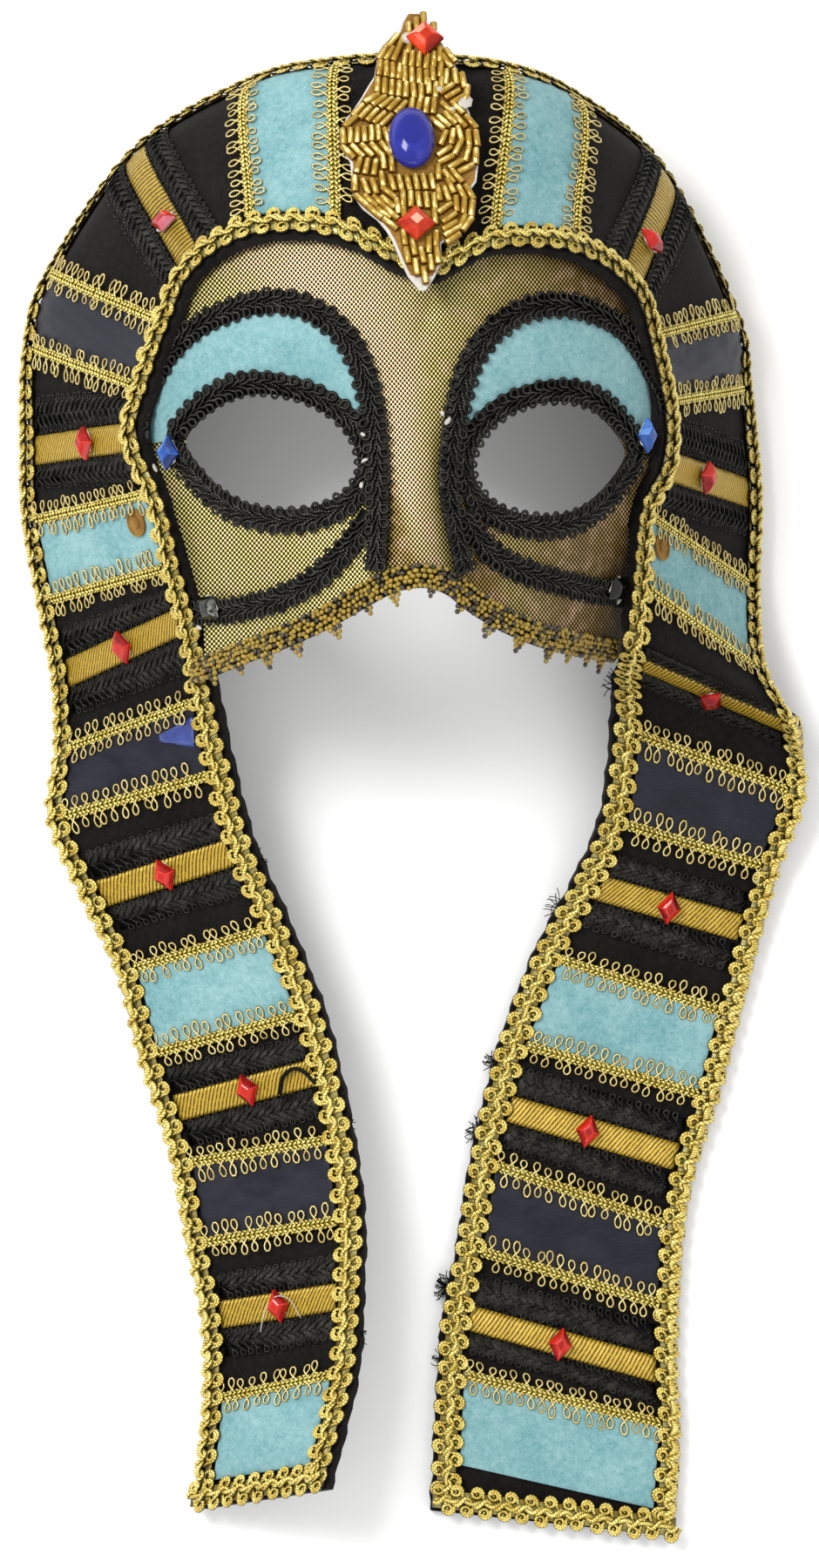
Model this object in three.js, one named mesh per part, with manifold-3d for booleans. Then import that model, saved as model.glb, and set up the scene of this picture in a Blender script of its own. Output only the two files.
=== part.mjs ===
// Egyptian queen costume mask: a lamé half mask under a felt headdress with two long lappets.
// It lies face up: +X to the viewer's right, +Y towards the crown, +Z up, in millimetres.

import * as THREE from "three";
import { mergeVertices } from "three/addons/utils/BufferGeometryUtils.js";
import Module from "manifold-3d";

const wasm = await Module();
wasm.setup();

// Driving dimensions
const gap = 0.35;
const layGap = 0.55;
const felt = {
  thickness: 2.5,
  pastOuterSeam: 1.9,
  pastInnerSeam: 3.4,
  besideMask: 1.6,
  pastHem: 3,
  hemMiddle: 20,
};
const borderBraid = { width: 9.2, height: 2.2, outerEdge: 2.6 };
const hemBraid = { width: 9.6, height: 2.4 };
const crossBraid = { width: 2.8, height: 1.5, underBorder: 1 };
const stripeGimp = { width: 7.6, height: 1.9 };
const ribbon = { width: 6.4, height: 0.7 };
const panelThickness = 0.9;
// The last panel on the right ends in a slant: this much bare felt shows above the hem at its inner side
const bareFeltAboveRightHem = 3.9;
const stoneCut = { foot: 0.92, girdle: 0.28, table: 0.42 };
const lozenge = {
  across: 6.3,
  along: 8.8,
  height: 2.6,
  // How far across the headdress each one lies, from the crown down
  places: [0.675, 0.605, 0.525, 0.51, 0.53, 0.515],
};
const rivet = { diameter: 7, height: 0.9, station: 7 };

// Seam stations from the middle of the crown down to the hem of each lappet. A row is the outer
// braid's line and then the inner braid's line. Every third station carries a gold ribbon, and a
// colour panel lies between the two stations after it.
const leftStations = [
  [1, 176, 56, 1, 124, 84],
  [-19, 175, 51, -21, 133, 79],
  [-38, 171, 37, -41, 133, 68],
  [-65, 155, 15, -55, 124, 57],
  [-86, 124, 6, -61, 110, 52],
  [-91, 106, 3, -66, 94, 47],
  [-91, 79, 3, -68.2, 82, 45],
  [-90, 62, 3, -63.2, 68, 46.5],
  [-86, 42, 3, -57.8, 50, 44],
  [-82, 23, 3, -53, 38, 41],
  [-81, 5, 2, -48, 18, 33],
  [-82, -12, 2, -43, 0, 27],
  [-73, -32, 2, -37, -19, 24],
  [-64, -50, 2, -28, -38, 22],
  [-58, -71, 2, -19, -59, 22],
  [-53, -85, 2, -15, -73, 22],
  [-49, -98, 2, -11, -90, 22],
  [-45, -118, 2, -8, -110, 22],
  [-41, -136, 2, -8, -129, 22],
  [-40, -157, 2, -9, -148, 23],
  [-42, -181, 2, -15, -174, 25],
];
const rightStations = [
  [1, 176, 56, 1, 124, 84],
  [22, 175, 51, 18, 131, 80],
  [40, 170, 37, 39, 131, 70],
  [65, 154, 15, 55, 122, 58],
  [86, 118, 6, 61, 110, 52],
  [90, 100, 3, 66, 94, 46],
  [93, 73, 3, 66, 78, 46],
  [93, 50, 3, 61, 66, 47],
  [94, 29, 10, 61, 48, 42],
  [103, 13, 10, 60, 29, 31],
  [105, -2, 8, 60, 13, 20],
  [99, -21, 3, 58, -10, 12],
  [95, -37, 1, 52, -26, 5],
  [90, -58, 0, 43, -44, 1],
  [85, -79, 0, 35, -66, 0],
  [80, -95, 0, 31, -82, 0],
  [77, -112, 0, 28, -96, 0],
  [76, -132, 0, 25, -118, 0],
  [76, -149, 0, 22, -135, 0],
  [77, -162, 0, 21, -149, 0],
  [76, -187, 0, 20, -181, 0],
];
const lastStation = leftStations.length - 1;

// The stations are places of the braid, this far above the felt's underside
const seamHeight = 4;
// The right lappet steps down sharply under its third ribbon
const shoulderFold = { station: 9, drop: 6, steepness: 0.22, reach: 1.1 };
// Across the crown the felt swells up from its outer seam
const crownSwell = { height: 5, at: 12, fullTo: 3, goneAt: 6 };

// The half mask: a rounded form with hollows at the eyes and a nose ridge
const mask = {
  thickness: 1.6,
  halfWidth: 67,
  cheekNarrowing: 14,
  sideHeight: 42,
  cheekDrop: 8,
  browHeight: 84,
  roundness: 2.3,
  cheekBelow: { y: 80, over: 55 },
  forehead: { from: 100, lean: 0.004 },
  eyeHollow: { depth: 6, x: 33, y: 84, spreadX: 17, spreadY: 13 },
  nose: { rise: 7, from: 100, over: 45, spread: 9.5 },
  steepest: 2.4,
  firstStation: -9.6,
  lastStation: 8.7,
};
// The mask stays clear of this space along the headdress's inner edge
const maskClearance = { stations: 11, under: 18, below: 0.525, above: 12 };
// The line of the trim round each eye: an oval that narrows to its outer corner
const eye = {
  leftX: 34,
  rightX: 33.8,
  y: 78.3,
  halfWidth: 22.6,
  halfHeight: 16.6,
  tilt: 0.12,
  corner: 0.47,
  holeInset: 3,
};
const eyeGimp = { width: 6.8, height: 1.8 };
const leftBrowArch = [
  [62.7, 86.7], [61.7, 93], [59.8, 98.3], [56.6, 103.7], [50, 109.6], [39.8, 113.8], [28.9, 113.7],
  [19.2, 107.9], [13.2, 98.1], [9.8, 84.2], [8.7, 70], [8.6, 58], [9, 49.5],
];
const rightBrowArch = [
  [62, 89.8], [61.1, 95.7], [59.2, 100.9], [56.1, 105.7], [50, 111.5], [39.2, 115.2], [28, 114.4],
  [18.5, 109], [12.4, 100.2], [8.7, 86.8], [6.9, 72.5], [8, 62.5], [11.4, 49.5],
];
const leftLowerStroke = [[12.4, 59.9], [17.4, 53.4], [25.1, 46], [34.7, 41.5], [45.2, 39.7], [54, 39.7]];
const rightLowerStroke = [[13.2, 60.7], [18, 55], [26.1, 50.9], [37.7, 48.2], [48, 46.9], [60, 46.5]];
// The eyelid panel fills the brow arch above a line from its inner corner to its outer one
const eyelid = { inner: [11, 82], outer: [66, 89], top: 120, archPart: 13 };
const beadTrim = { width: 5.8, height: 1.8, drops: 15, dropLength: 4.2, dropWidth: 3.4, dropTuck: 0.8 };
const beadTrimLine = [
  [-50, 25], [-47, 26], [-38, 30], [-30, 33.5], [-21, 38], [-12, 43.5], [-5, 47.3],
  [2, 48.5], [8, 47], [14, 43], [22, 38.8], [32, 35.4], [43, 33.6], [55, 32.5],
];
const blueStone = { halfX: 3.3, halfY: 4.3, height: 2.4, turn: 0, left: [-57.2, 78], right: [58, 85.2] };
const clearStone = {
  halfX: 3.4,
  halfY: 4.2,
  height: 2.2,
  turn: 0.15,
  left: [-46.2, 40.4],
  right: [50.6, 49.9],
};

// The crest ornament, measured down its middle from the outer seam of the crown
const ornament = {
  below: 10,
  lean: 0.05,
  overSwell: 3.2,
  backing: 1.2,
  pad: 1.4,
  padInset: 0.9,
  barLength: 3.7,
  barRadius: 1.25,
  barPitch: 3.1,
  barRowGap: 0.5,
  barEdge: 1,
  barRows: { first: 2, last: -58 },
  barFan: { turn: 0.7, at: 18, middle: -26 },
  aside: -1.2,
  cabochon: { x: -2.3, y: -18.9, halfWidth: 5.2, halfHeight: 8, height: 4.6, rim: 0.6, foot: 0.94 },
  gems: [{ name: "crest_stone", x: 1.7, y: 9.6 }, { name: "lower_ornament_stone", x: -1, y: -42.1 }],
  gemDiagonal: 9.6,
  gemHeight: 3,
  tip: { below: -55, pull: 2 },
  crownPull: 1.5,
  narrowest: 0.3,
};
// Its outline, as distance above its origin and reach to the left and to the right
const ornamentOutline = [
  [18.2, 3, 1.5], [16, 4.1, 3], [12.9, 5.1, 5.2], [9.9, 7.4, 6.6], [6.8, 9.4, 8.1], [3.7, 10.7, 9.6],
  [0.6, 11.1, 10.3], [-2.4, 12.8, 12], [-5.5, 14.4, 11.1], [-8.6, 16.2, 12.5], [-11.6, 18.3, 13.2],
  [-14.7, 19.4, 14.3], [-17.7, 19.7, 14.5], [-20.8, 18.8, 14.7], [-23.5, 17.4, 14.4], [-28, 17.1, 13.8],
  [-30.5, 16.9, 12.1], [-33, 16.6, 12.2], [-36.2, 14.7, 12.2], [-39.3, 11.1, 11.6], [-42.3, 8.9, 8.6],
  [-45.4, 7.4, 4.8], [-50.3, 5.7, 4.9], [-54.6, 4, 3.1], [-58.3, 1.3, 0.9], [-59.8, 0.4, 0.5],
];

// Middle of the finished piece, moved to the origin
const middle = { x: 7.175, y: -2.92 };

function finish(color, roughness, metalness = 0) {
  return new THREE.MeshStandardMaterial({ color: new THREE.Color(color), roughness, metalness });
}

const finishes = {
  lame: finish("#b79a4a", 0.42, 0.6),
  blackFelt: finish("#171513", 0.95),
  turquoiseFelt: finish("#84c9d0", 0.95),
  navySatin: finish("#23283f", 0.5),
  goldBraid: finish("#c8a93c", 0.38, 0.75),
  goldRibbon: finish("#c6a12c", 0.4, 0.5),
  blackGimp: finish("#1c1b1a", 0.6),
  redStone: finish("#c8201e", 0.12),
  blueStone: finish("#26309a", 0.1),
  clearStone: finish("#70736c", 0.1),
  whiteFelt: finish("#d8d4cc", 0.95),
  bugleBead: finish("#b8923a", 0.25, 0.4),
  seedBead: finish("#6d5a18", 0.3, 0.5),
  brass: finish("#9a7a35", 0.4, 0.9),
};

// Solids

function solidFrom(geometry) {
  const plain = geometry.clone();
  plain.deleteAttribute("normal");
  plain.deleteAttribute("uv");
  const merged = mergeVertices(plain, 1e-4);
  const corners = merged.index.array.slice();
  const points = merged.attributes.position;
  const [a, b, c] = [new THREE.Vector3(), new THREE.Vector3(), new THREE.Vector3()];
  let volume = 0;
  for (let i = 0; i < corners.length; i += 3) {
    a.fromBufferAttribute(points, corners[i]);
    b.fromBufferAttribute(points, corners[i + 1]);
    c.fromBufferAttribute(points, corners[i + 2]);
    volume += a.dot(b.cross(c));
  }
  if (volume < 0) {
    for (let i = 0; i < corners.length; i += 3) {
      [corners[i + 1], corners[i + 2]] = [corners[i + 2], corners[i + 1]];
    }
  }
  return new wasm.Manifold(new wasm.Mesh({
    numProp: 3,
    vertProperties: new Float32Array(points.array),
    triVerts: new Uint32Array(corners),
  }));
}

function joined(solids) {
  return solids.reduce((whole, solid) => whole.add(solid));
}

function largest(solid) {
  return solid.decompose().sort((one, other) => other.volume() - one.volume())[0];
}

function meshNamed(name, solid, material) {
  const faces = solid.getMesh();
  const geometry = new THREE.BufferGeometry();
  geometry.setAttribute("position", new THREE.BufferAttribute(faces.vertProperties, 3));
  geometry.setIndex(new THREE.BufferAttribute(faces.triVerts, 1));
  geometry.computeVertexNormals();
  const mesh = new THREE.Mesh(geometry, material);
  mesh.name = name;
  return mesh;
}

// A box of given divisions whose points are moved by place(u, v, isTop), with u and v from 0 to 1.
// Its lower face is split along the same diagonals as its upper one, so that layers nest.
function drapedSolid(divisionsU, divisionsV, place) {
  const box = new THREE.BoxGeometry(1, 1, 1, divisionsU, divisionsV, 1);
  const corners = box.index.array;
  const lowerFace = box.groups[5];
  for (let i = lowerFace.start; i < lowerFace.start + lowerFace.count; i += 6) {
    const [a, b, d, , c] = corners.slice(i, i + 6);
    corners.set([a, b, c, a, c, d], i);
  }
  const points = box.attributes.position;
  for (let i = 0; i < points.count; i += 1) {
    const spot = place(points.getX(i) + 0.5, points.getY(i) + 0.5, points.getZ(i) > 0);
    points.setXYZ(i, spot.x, spot.y, spot.z);
  }
  return solidFrom(box);
}

// The headdress surface. A place on it is a station number, negative on the left, a distance
// across from the outer seam, and a height above the felt's underside.

const stationRows = [...leftStations.slice(1).reverse(), ...rightStations];

function seamCurve(firstColumn) {
  const points = stationRows.map((row) => new THREE.Vector3(...row.slice(firstColumn, firstColumn + 3)));
  return new THREE.CatmullRomCurve3(points, false, "catmullrom", 0.5);
}

const outerSeam = seamCurve(0);
const innerSeam = seamCurve(3);

function seamPoint(seam, station) {
  const held = THREE.MathUtils.clamp(station, -lastStation, lastStation);
  const share = (held + lastStation) / (2 * lastStation);
  const point = seam.getPoint(share);
  if (held !== station) {
    const step = 0.1 * Math.sign(station);
    const before = seam.getPoint((held - step + lastStation) / (2 * lastStation));
    point.addScaledVector(point.clone().sub(before), (station - held) / step);
  }
  const pastFold = station - shoulderFold.station;
  const fold = Math.tanh(pastFold / shoulderFold.steepness) * bell(pastFold, shoulderFold.reach);
  point.z = Math.max(point.z - shoulderFold.drop * fold, 0) + seamHeight;
  return point;
}

function bandWidth(station) {
  return seamPoint(outerSeam, station).distanceTo(seamPoint(innerSeam, station));
}

function bandDirections(station) {
  const outer = seamPoint(outerSeam, station);
  const inner = seamPoint(innerSeam, station);
  const across = inner.clone().sub(outer).normalize();
  const step = 0.05;
  const ahead = seamPoint(outerSeam, station + step).add(seamPoint(innerSeam, station + step));
  const behind = seamPoint(outerSeam, station - step).add(seamPoint(innerSeam, station - step));
  const along = ahead.sub(behind).normalize();
  const up = new THREE.Vector3().crossVectors(across, along).normalize();
  return { outer, across, along, up };
}

function swellAt(station, distance) {
  const { height, at, fullTo, goneAt } = crownSwell;
  const strength = 1 - THREE.MathUtils.smoothstep(Math.abs(station), fullTo, goneAt);
  if (distance < at) return height * strength * (1 - (1 - distance / at) ** 2);
  return height * strength * (1 - THREE.MathUtils.smoothstep(distance, at, bandWidth(station)));
}

function bandPoint(station, distance, height) {
  const { outer, across, up } = bandDirections(station);
  const lift = height - seamHeight + swellAt(station, distance);
  const point = outer.addScaledVector(across, distance).addScaledVector(up, lift);
  point.z = Math.max(point.z, 0);
  return point;
}

// The station that lies a given length along the band from another, at a distance across
function stationAfter(station, distance, length) {
  const step = 0.05;
  const ahead = bandPoint(station + step, distance, 0);
  const speed = ahead.distanceTo(bandPoint(station - step, distance, 0)) / (2 * step);
  return station + length / speed;
}

// A strip laid across the band, centred a given offset past a station. It runs between a distance
// from the outer seam and one short of the inner seam.
function crossStrip(station, offset, width, from, shortOfInner, low, high) {
  return drapedSolid(1, 2, (u, v, isTop) => {
    const length = offset + (u - 0.5) * width;
    let place = station;
    let distance = 0;
    for (let pass = 0; pass < 3; pass += 1) {
      distance = THREE.MathUtils.lerp(from, bandWidth(place) - shortOfInner, v);
      place = stationAfter(station, distance, length);
    }
    return bandPoint(place, distance, isTop ? high : low);
  });
}

// A strip that runs along the band, its lines given as distances across for a station
function longStrip(stations, linesAt, low, high) {
  const lines = linesAt(0).length - 1;
  return drapedSolid(stations.length - 1, lines, (u, v, isTop) => {
    const station = stations[Math.round(u * (stations.length - 1))];
    const distance = linesAt(station)[Math.round(v * lines)];
    return bandPoint(station, distance, isTop ? high : low);
  });
}

// Stations for the long strips: close together round the crown, wider down the lappets
function divisions(first, last) {
  const places = [first];
  for (let station = -lastStation; station <= lastStation; station += 0.25) {
    const distance = Math.abs(station);
    const atCorner = distance > 2 && distance < 5;
    const atFold = Math.abs(station - shoulderFold.station) < 0.8;
    const spacing = atCorner || atFold ? 0.25 : distance < 14 ? 0.5 : 1;
    const isOwn = station % spacing === 0;
    if (isOwn && station > first + 0.1 && station < last - 0.1) places.push(station);
  }
  places.push(last);
  return places;
}

const surfaceHeight = felt.thickness + layGap;
const insideBraid = borderBraid.width / 2 + gap;

function innerLimit(station) {
  return bandWidth(station) - insideBraid;
}

const sides = [
  { name: "left", sign: -1, browArch: leftBrowArch, lowerStroke: leftLowerStroke },
  { name: "right", sign: 1, browArch: rightBrowArch, lowerStroke: rightLowerStroke },
];
const ribbonStations = [3, 6, 9, 12, 15, 18];
const panelStations = [1, 4, 7, 10, 13, 16, 19];
const crossBraidStations = [1, 2, 4, 5, 7, 8, 10, 11, 13, 14, 16, 17, 19];
const gimpOffset = ribbon.width / 2 + gap + stripeGimp.width / 2;

function innerFeltEdge(station) {
  const besideMask = felt.besideMask * bell(Math.abs(station) - 7, 2.5);
  return bandWidth(station) + felt.pastInnerSeam + besideMask;
}

function headdressBase() {
  const endLeft = stationAfter(-lastStation, felt.hemMiddle, -felt.pastHem);
  const endRight = stationAfter(lastStation, felt.hemMiddle, felt.pastHem);
  const stations = divisions(endLeft, endRight);
  const half = borderBraid.width / 2;
  const lines = (station) => {
    const width = bandWidth(station);
    return [-felt.pastOuterSeam, half, width / 2, width - half, innerFeltEdge(station)];
  };
  const sheet = longStrip(stations, lines, 0, felt.thickness);
  const gimps = [];
  for (const { sign } of sides) {
    for (const station of ribbonStations) {
      for (const offset of [-gimpOffset, gimpOffset]) {
        const place = sign * station;
        gimps.push(crossStrip(
          place,
          offset,
          stripeGimp.width,
          insideBraid,
          insideBraid,
          felt.thickness / 2,
          felt.thickness + stripeGimp.height,
        ));
      }
    }
  }
  return largest(joined([sheet, ...gimps]));
}

function borderDivisions(distance) {
  const stop = hemBraid.width / 2 + 2 * gap;
  return divisions(stationAfter(-lastStation, distance, stop), stationAfter(lastStation, distance, -stop));
}

function outerBorder() {
  const half = borderBraid.width / 2;
  const low = surfaceHeight;
  const lines = () => [-borderBraid.outerEdge, half];
  const border = longStrip(borderDivisions(0), lines, low, low + borderBraid.height);
  const from = half - crossBraid.underBorder;
  const bars = [];
  for (const { sign } of sides) {
    for (const station of crossBraidStations) {
      const place = sign * station;
      bars.push(crossStrip(place, 0, crossBraid.width, from, insideBraid, low, low + crossBraid.height));
    }
  }
  return joined([border, ...bars]);
}

function innerBorder() {
  const half = borderBraid.width / 2;
  const lines = (station) => [bandWidth(station) - half, bandWidth(station) + half];
  const stations = borderDivisions(bandWidth(lastStation));
  return longStrip(stations, lines, surfaceHeight, surfaceHeight + borderBraid.height);
}

function hem(sign) {
  const place = sign * lastStation;
  return crossStrip(
    place,
    0,
    hemBraid.width,
    -borderBraid.outerEdge,
    -felt.pastInnerSeam,
    surfaceHeight,
    surfaceHeight + hemBraid.height,
  );
}

function colourPanel(sign, first) {
  const clear = crossBraid.width / 2 + gap;
  const isLast = first === lastStation - 1;
  const bareFelt = isLast && sign > 0 ? bareFeltAboveRightHem - gap : 0;
  const endClear = isLast ? hemBraid.width / 2 + gap : clear;
  const near = Math.min(sign * first, sign * (first + 1));
  const far = near + 1;
  const nearClear = sign > 0 ? clear : endClear;
  const farClear = sign > 0 ? endClear : clear;
  return drapedSolid(3, 2, (u, v, isTop) => {
    let place = THREE.MathUtils.lerp(near, far, u);
    let distance = 0;
    for (let pass = 0; pass < 3; pass += 1) {
      distance = THREE.MathUtils.lerp(insideBraid, innerLimit(place), v);
      const start = stationAfter(near, distance, nearClear);
      const end = stationAfter(far, distance, -farClear - bareFelt * v);
      place = THREE.MathUtils.lerp(start, end, u);
    }
    return bandPoint(place, distance, surfaceHeight + (isTop ? panelThickness : 0));
  });
}

function ribbonStripe(sign, station) {
  const place = sign * station;
  const top = surfaceHeight + ribbon.height;
  return crossStrip(place, 0, ribbon.width, insideBraid, insideBraid, surfaceHeight, top);
}

// A cut stone: a girdle under a crown that rises to a small flat table
function cutStone(halfX, halfY, height) {
  const profile = [
    new THREE.Vector2(0, 0),
    new THREE.Vector2(stoneCut.foot, 0),
    new THREE.Vector2(1, stoneCut.girdle * height),
    new THREE.Vector2(stoneCut.table, height),
    new THREE.Vector2(0, height),
  ];
  const turned = new THREE.LatheGeometry(profile, 4);
  turned.rotateX(Math.PI / 2);
  turned.scale(halfX, halfY, 1);
  return turned;
}

function standOn(geometry, origin, xAxis, zAxis) {
  const z = zAxis.clone().normalize();
  const y = new THREE.Vector3().crossVectors(z, xAxis).normalize();
  const x = new THREE.Vector3().crossVectors(y, z).normalize();
  const turn = new THREE.Matrix4().makeBasis(x, y, z).setPosition(origin);
  return solidFrom(geometry.clone().applyMatrix4(turn));
}

function ribbonStone(sign, station) {
  const place = sign * station;
  const { across, up } = bandDirections(place);
  const distance = bandWidth(place) * lozenge.places[ribbonStations.indexOf(station)];
  const seat = stripeGimp.height + felt.thickness + gap;
  const stone = cutStone(lozenge.across / 2, lozenge.along / 2, lozenge.height);
  return standOn(stone, bandPoint(place, distance, seat), across, up);
}

function strapRivet(sign) {
  const along = crossBraid.width / 2 + rivet.diameter / 2 + 2 * gap;
  const braidStation = sign * rivet.station;
  const station = stationAfter(braidStation, innerLimit(braidStation), sign * along);
  const distance = innerLimit(station) - rivet.diameter / 2 - gap;
  const { across, up } = bandDirections(station);
  const disc = new THREE.CylinderGeometry(rivet.diameter / 2, rivet.diameter / 2, rivet.height, 14);
  disc.rotateX(Math.PI / 2);
  disc.translate(0, 0, rivet.height / 2);
  const seat = surfaceHeight + panelThickness + layGap;
  return standOn(disc, bandPoint(station, distance, seat), across, up);
}

// The mask surface

function smoothShare(value) {
  return THREE.MathUtils.smoothstep(value, 0, 1);
}

function bell(distance, spread) {
  return Math.exp(-((distance / spread) ** 2));
}

function maskHeight(x, y) {
  const { cheekBelow, forehead, eyeHollow, nose } = mask;
  const cheek = smoothShare((cheekBelow.y - y) / cheekBelow.over);
  const halfWidth = mask.halfWidth - mask.cheekNarrowing * cheek;
  const side = mask.sideHeight - mask.cheekDrop * cheek;
  const rounded = 1 - Math.abs(x / halfWidth) ** mask.roundness;
  let height = side + (mask.browHeight - side) * rounded;
  height -= forehead.lean * Math.max(0, y - forehead.from) ** 2;
  const hollowX = bell(x - eyeHollow.x, eyeHollow.spreadX) + bell(x + eyeHollow.x, eyeHollow.spreadX);
  height -= eyeHollow.depth * bell(y - eyeHollow.y, eyeHollow.spreadY) * hollowX;
  height += nose.rise * smoothShare((nose.from - y) / nose.over) * bell(x, nose.spread);
  return height;
}

function maskSteepness(x, y) {
  const step = 0.5;
  const slopeX = (maskHeight(x + step, y) - maskHeight(x - step, y)) / (2 * step);
  const slopeY = (maskHeight(x, y + step) - maskHeight(x, y - step)) / (2 * step);
  return { slopeX, slopeY, steepness: Math.min(Math.hypot(1, slopeX, slopeY), mask.steepest) };
}

function maskLayer(low, high) {
  const area = { left: -71, right: 71, bottom: 16, top: 142 };
  return drapedSolid(18, 15, (u, v, isTop) => {
    const x = THREE.MathUtils.lerp(area.left, area.right, u);
    const y = THREE.MathUtils.lerp(area.bottom, area.top, v);
    const lift = (isTop ? high : low) * maskSteepness(x, y).steepness;
    return new THREE.Vector3(x, y, maskHeight(x, y) + lift);
  });
}

// An upright prism through the mask, for cutting a shape out of a layer
function prism(shape) {
  const [bottom, depth] = [-50, 200];
  const block = new THREE.ExtrudeGeometry(shape, { depth, bevelEnabled: false });
  block.translate(0, 0, bottom);
  return solidFrom(block);
}

function curvePoints(points, count) {
  const curve = new THREE.SplineCurve(points.map(([x, y]) => new THREE.Vector2(x, y)));
  return curve.getPoints(count);
}

// The outline of a strip of even width along a line
function stripShape(line, width) {
  const near = [];
  const far = [];
  line.forEach((point, i) => {
    const before = line[Math.max(i - 1, 0)];
    const after = line[Math.min(i + 1, line.length - 1)];
    const along = after.clone().sub(before).normalize();
    const aside = new THREE.Vector2(-along.y, along.x).multiplyScalar(width / 2);
    near.push(point.clone().add(aside));
    far.push(point.clone().sub(aside));
  });
  return new THREE.Shape([...near, ...far.reverse()]);
}

function eyeLine(sign, grow, count = 24) {
  const line = [];
  const middleX = sign > 0 ? eye.rightX : eye.leftX;
  for (let i = 0; i < count; i += 1) {
    const turn = (i / count) * 2 * Math.PI;
    const reach = (eye.halfWidth + grow) * Math.cos(turn);
    const narrowed = 1 - eye.corner * Math.max(Math.cos(turn), 0) ** 3;
    const rise = (eye.halfHeight + grow) * Math.sin(turn) * narrowed + eye.tilt * reach;
    line.push(new THREE.Vector2(sign * (middleX + reach), eye.y + rise));
  }
  return line;
}

function faceMask() {
  const archCount = 30;
  const arch = [];
  for (let i = 0; i <= archCount; i += 1) {
    const station = THREE.MathUtils.lerp(mask.firstStation, mask.lastStation, i / archCount);
    const point = seamPoint(innerSeam, station);
    arch.push(new THREE.Vector2(point.x, point.y));
  }
  const edgeDrop = new THREE.Vector2(0, -beadTrim.width / 2);
  const bottom = curvePoints(beadTrimLine, 18).map((point) => point.add(edgeDrop));
  const outline = new THREE.Shape([...arch, ...bottom.reverse()]);
  const holes = sides.map(({ sign }) => prism(new THREE.Shape(eyeLine(sign, -eye.holeInset))));
  return largest(maskLayer(-mask.thickness, 0)
    .intersect(prism(outline))
    .subtract(holes[0])
    .subtract(holes[1])
    .subtract(bandClearance));
}

function eyeTrim({ sign, browArch, lowerStroke }) {
  const half = eyeGimp.width / 2;
  const mirrored = (points) => points.map(([x, y]) => [sign * x, y]);
  const eyeHole = prism(new THREE.Shape(eyeLine(sign, -half)));
  const ring = prism(new THREE.Shape(eyeLine(sign, half))).subtract(eyeHole);
  const arch = prism(stripShape(curvePoints(mirrored(browArch), 16), eyeGimp.width));
  const stroke = prism(stripShape(curvePoints(mirrored(lowerStroke), 6), eyeGimp.width));
  const outline = joined([ring, arch, stroke]).subtract(beadTrimPrism(gap));
  return largest(maskLayer(gap, gap + eyeGimp.height).intersect(outline).subtract(bandClearance));
}

function eyelidPanel({ sign, browArch }) {
  const half = eyeGimp.width / 2 + gap;
  const mirrored = browArch.map(([x, y]) => [sign * x, y]);
  const archLine = curvePoints(mirrored, 16);
  const region = prism(new THREE.Shape(archLine.slice(0, eyelid.archPart)));
  const taken = prism(stripShape(archLine, 2 * half)).add(prism(new THREE.Shape(eyeLine(sign, half))));
  const aboveCorner = prism(new THREE.Shape([
    new THREE.Vector2(sign * eyelid.inner[0], eyelid.inner[1]),
    new THREE.Vector2(sign * eyelid.outer[0], eyelid.outer[1]),
    new THREE.Vector2(sign * eyelid.outer[0], eyelid.top),
    new THREE.Vector2(sign * eyelid.inner[0], eyelid.top),
  ]));
  return largest(maskLayer(gap, gap + panelThickness)
    .intersect(region)
    .intersect(aboveCorner)
    .subtract(taken)
    .subtract(bandClearance));
}

function beadTrimPrism(grow) {
  const line = curvePoints(beadTrimLine, 24);
  const drops = [];
  const halfDrop = beadTrim.dropWidth / 2;
  for (let i = 1; i < beadTrim.drops; i += 1) {
    const place = line[Math.round((i / beadTrim.drops) * (line.length - 1))];
    const top = place.y - beadTrim.width / 2 + beadTrim.dropTuck;
    drops.push(prism(new THREE.Shape([
      new THREE.Vector2(place.x - halfDrop, top),
      new THREE.Vector2(place.x + halfDrop, top),
      new THREE.Vector2(place.x, top - beadTrim.dropLength),
    ])));
  }
  const strip = prism(stripShape(line, beadTrim.width + 2 * grow));
  return grow > 0 ? strip : joined([strip, ...drops]);
}

// A clear space round the inner edge of the headdress, so that nothing on the mask runs into it
const clearanceLines = (station) => {
  const width = bandWidth(station);
  const edge = Math.max(innerFeltEdge(station), width + borderBraid.width / 2) + gap;
  return [width - maskClearance.under, width - borderBraid.width / 2, edge];
};
const clearanceStations = divisions(-maskClearance.stations, maskClearance.stations);
const bandClearance = longStrip(clearanceStations, clearanceLines, -maskClearance.below, maskClearance.above);

// A stone on the mask, a little above its surface
function maskStone({ halfX, halfY, height, turn }, [x, y], sign) {
  const { slopeX, slopeY } = maskSteepness(x, y);
  const up = new THREE.Vector3(-slopeX, -slopeY, 1).normalize();
  const seat = new THREE.Vector3(x, y, maskHeight(x, y)).addScaledVector(up, eyeGimp.height + 3 * gap);
  const stone = cutStone(halfX, halfY, height);
  stone.rotateZ(turn * sign);
  return standOn(stone, seat, new THREE.Vector3(1, 0, 0), up);
}

// The crest ornament stands in its own frame, flat on the crown

function reachAt(height) {
  const below = ornamentOutline.findIndex(([y]) => y < height);
  const [topY, topLeft, topRight] = ornamentOutline[below - 1];
  const [lowY, lowLeft, lowRight] = ornamentOutline[below];
  const share = (topY - height) / (topY - lowY);
  return {
    left: THREE.MathUtils.lerp(topLeft, lowLeft, share),
    right: THREE.MathUtils.lerp(topRight, lowRight, share),
  };
}

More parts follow.
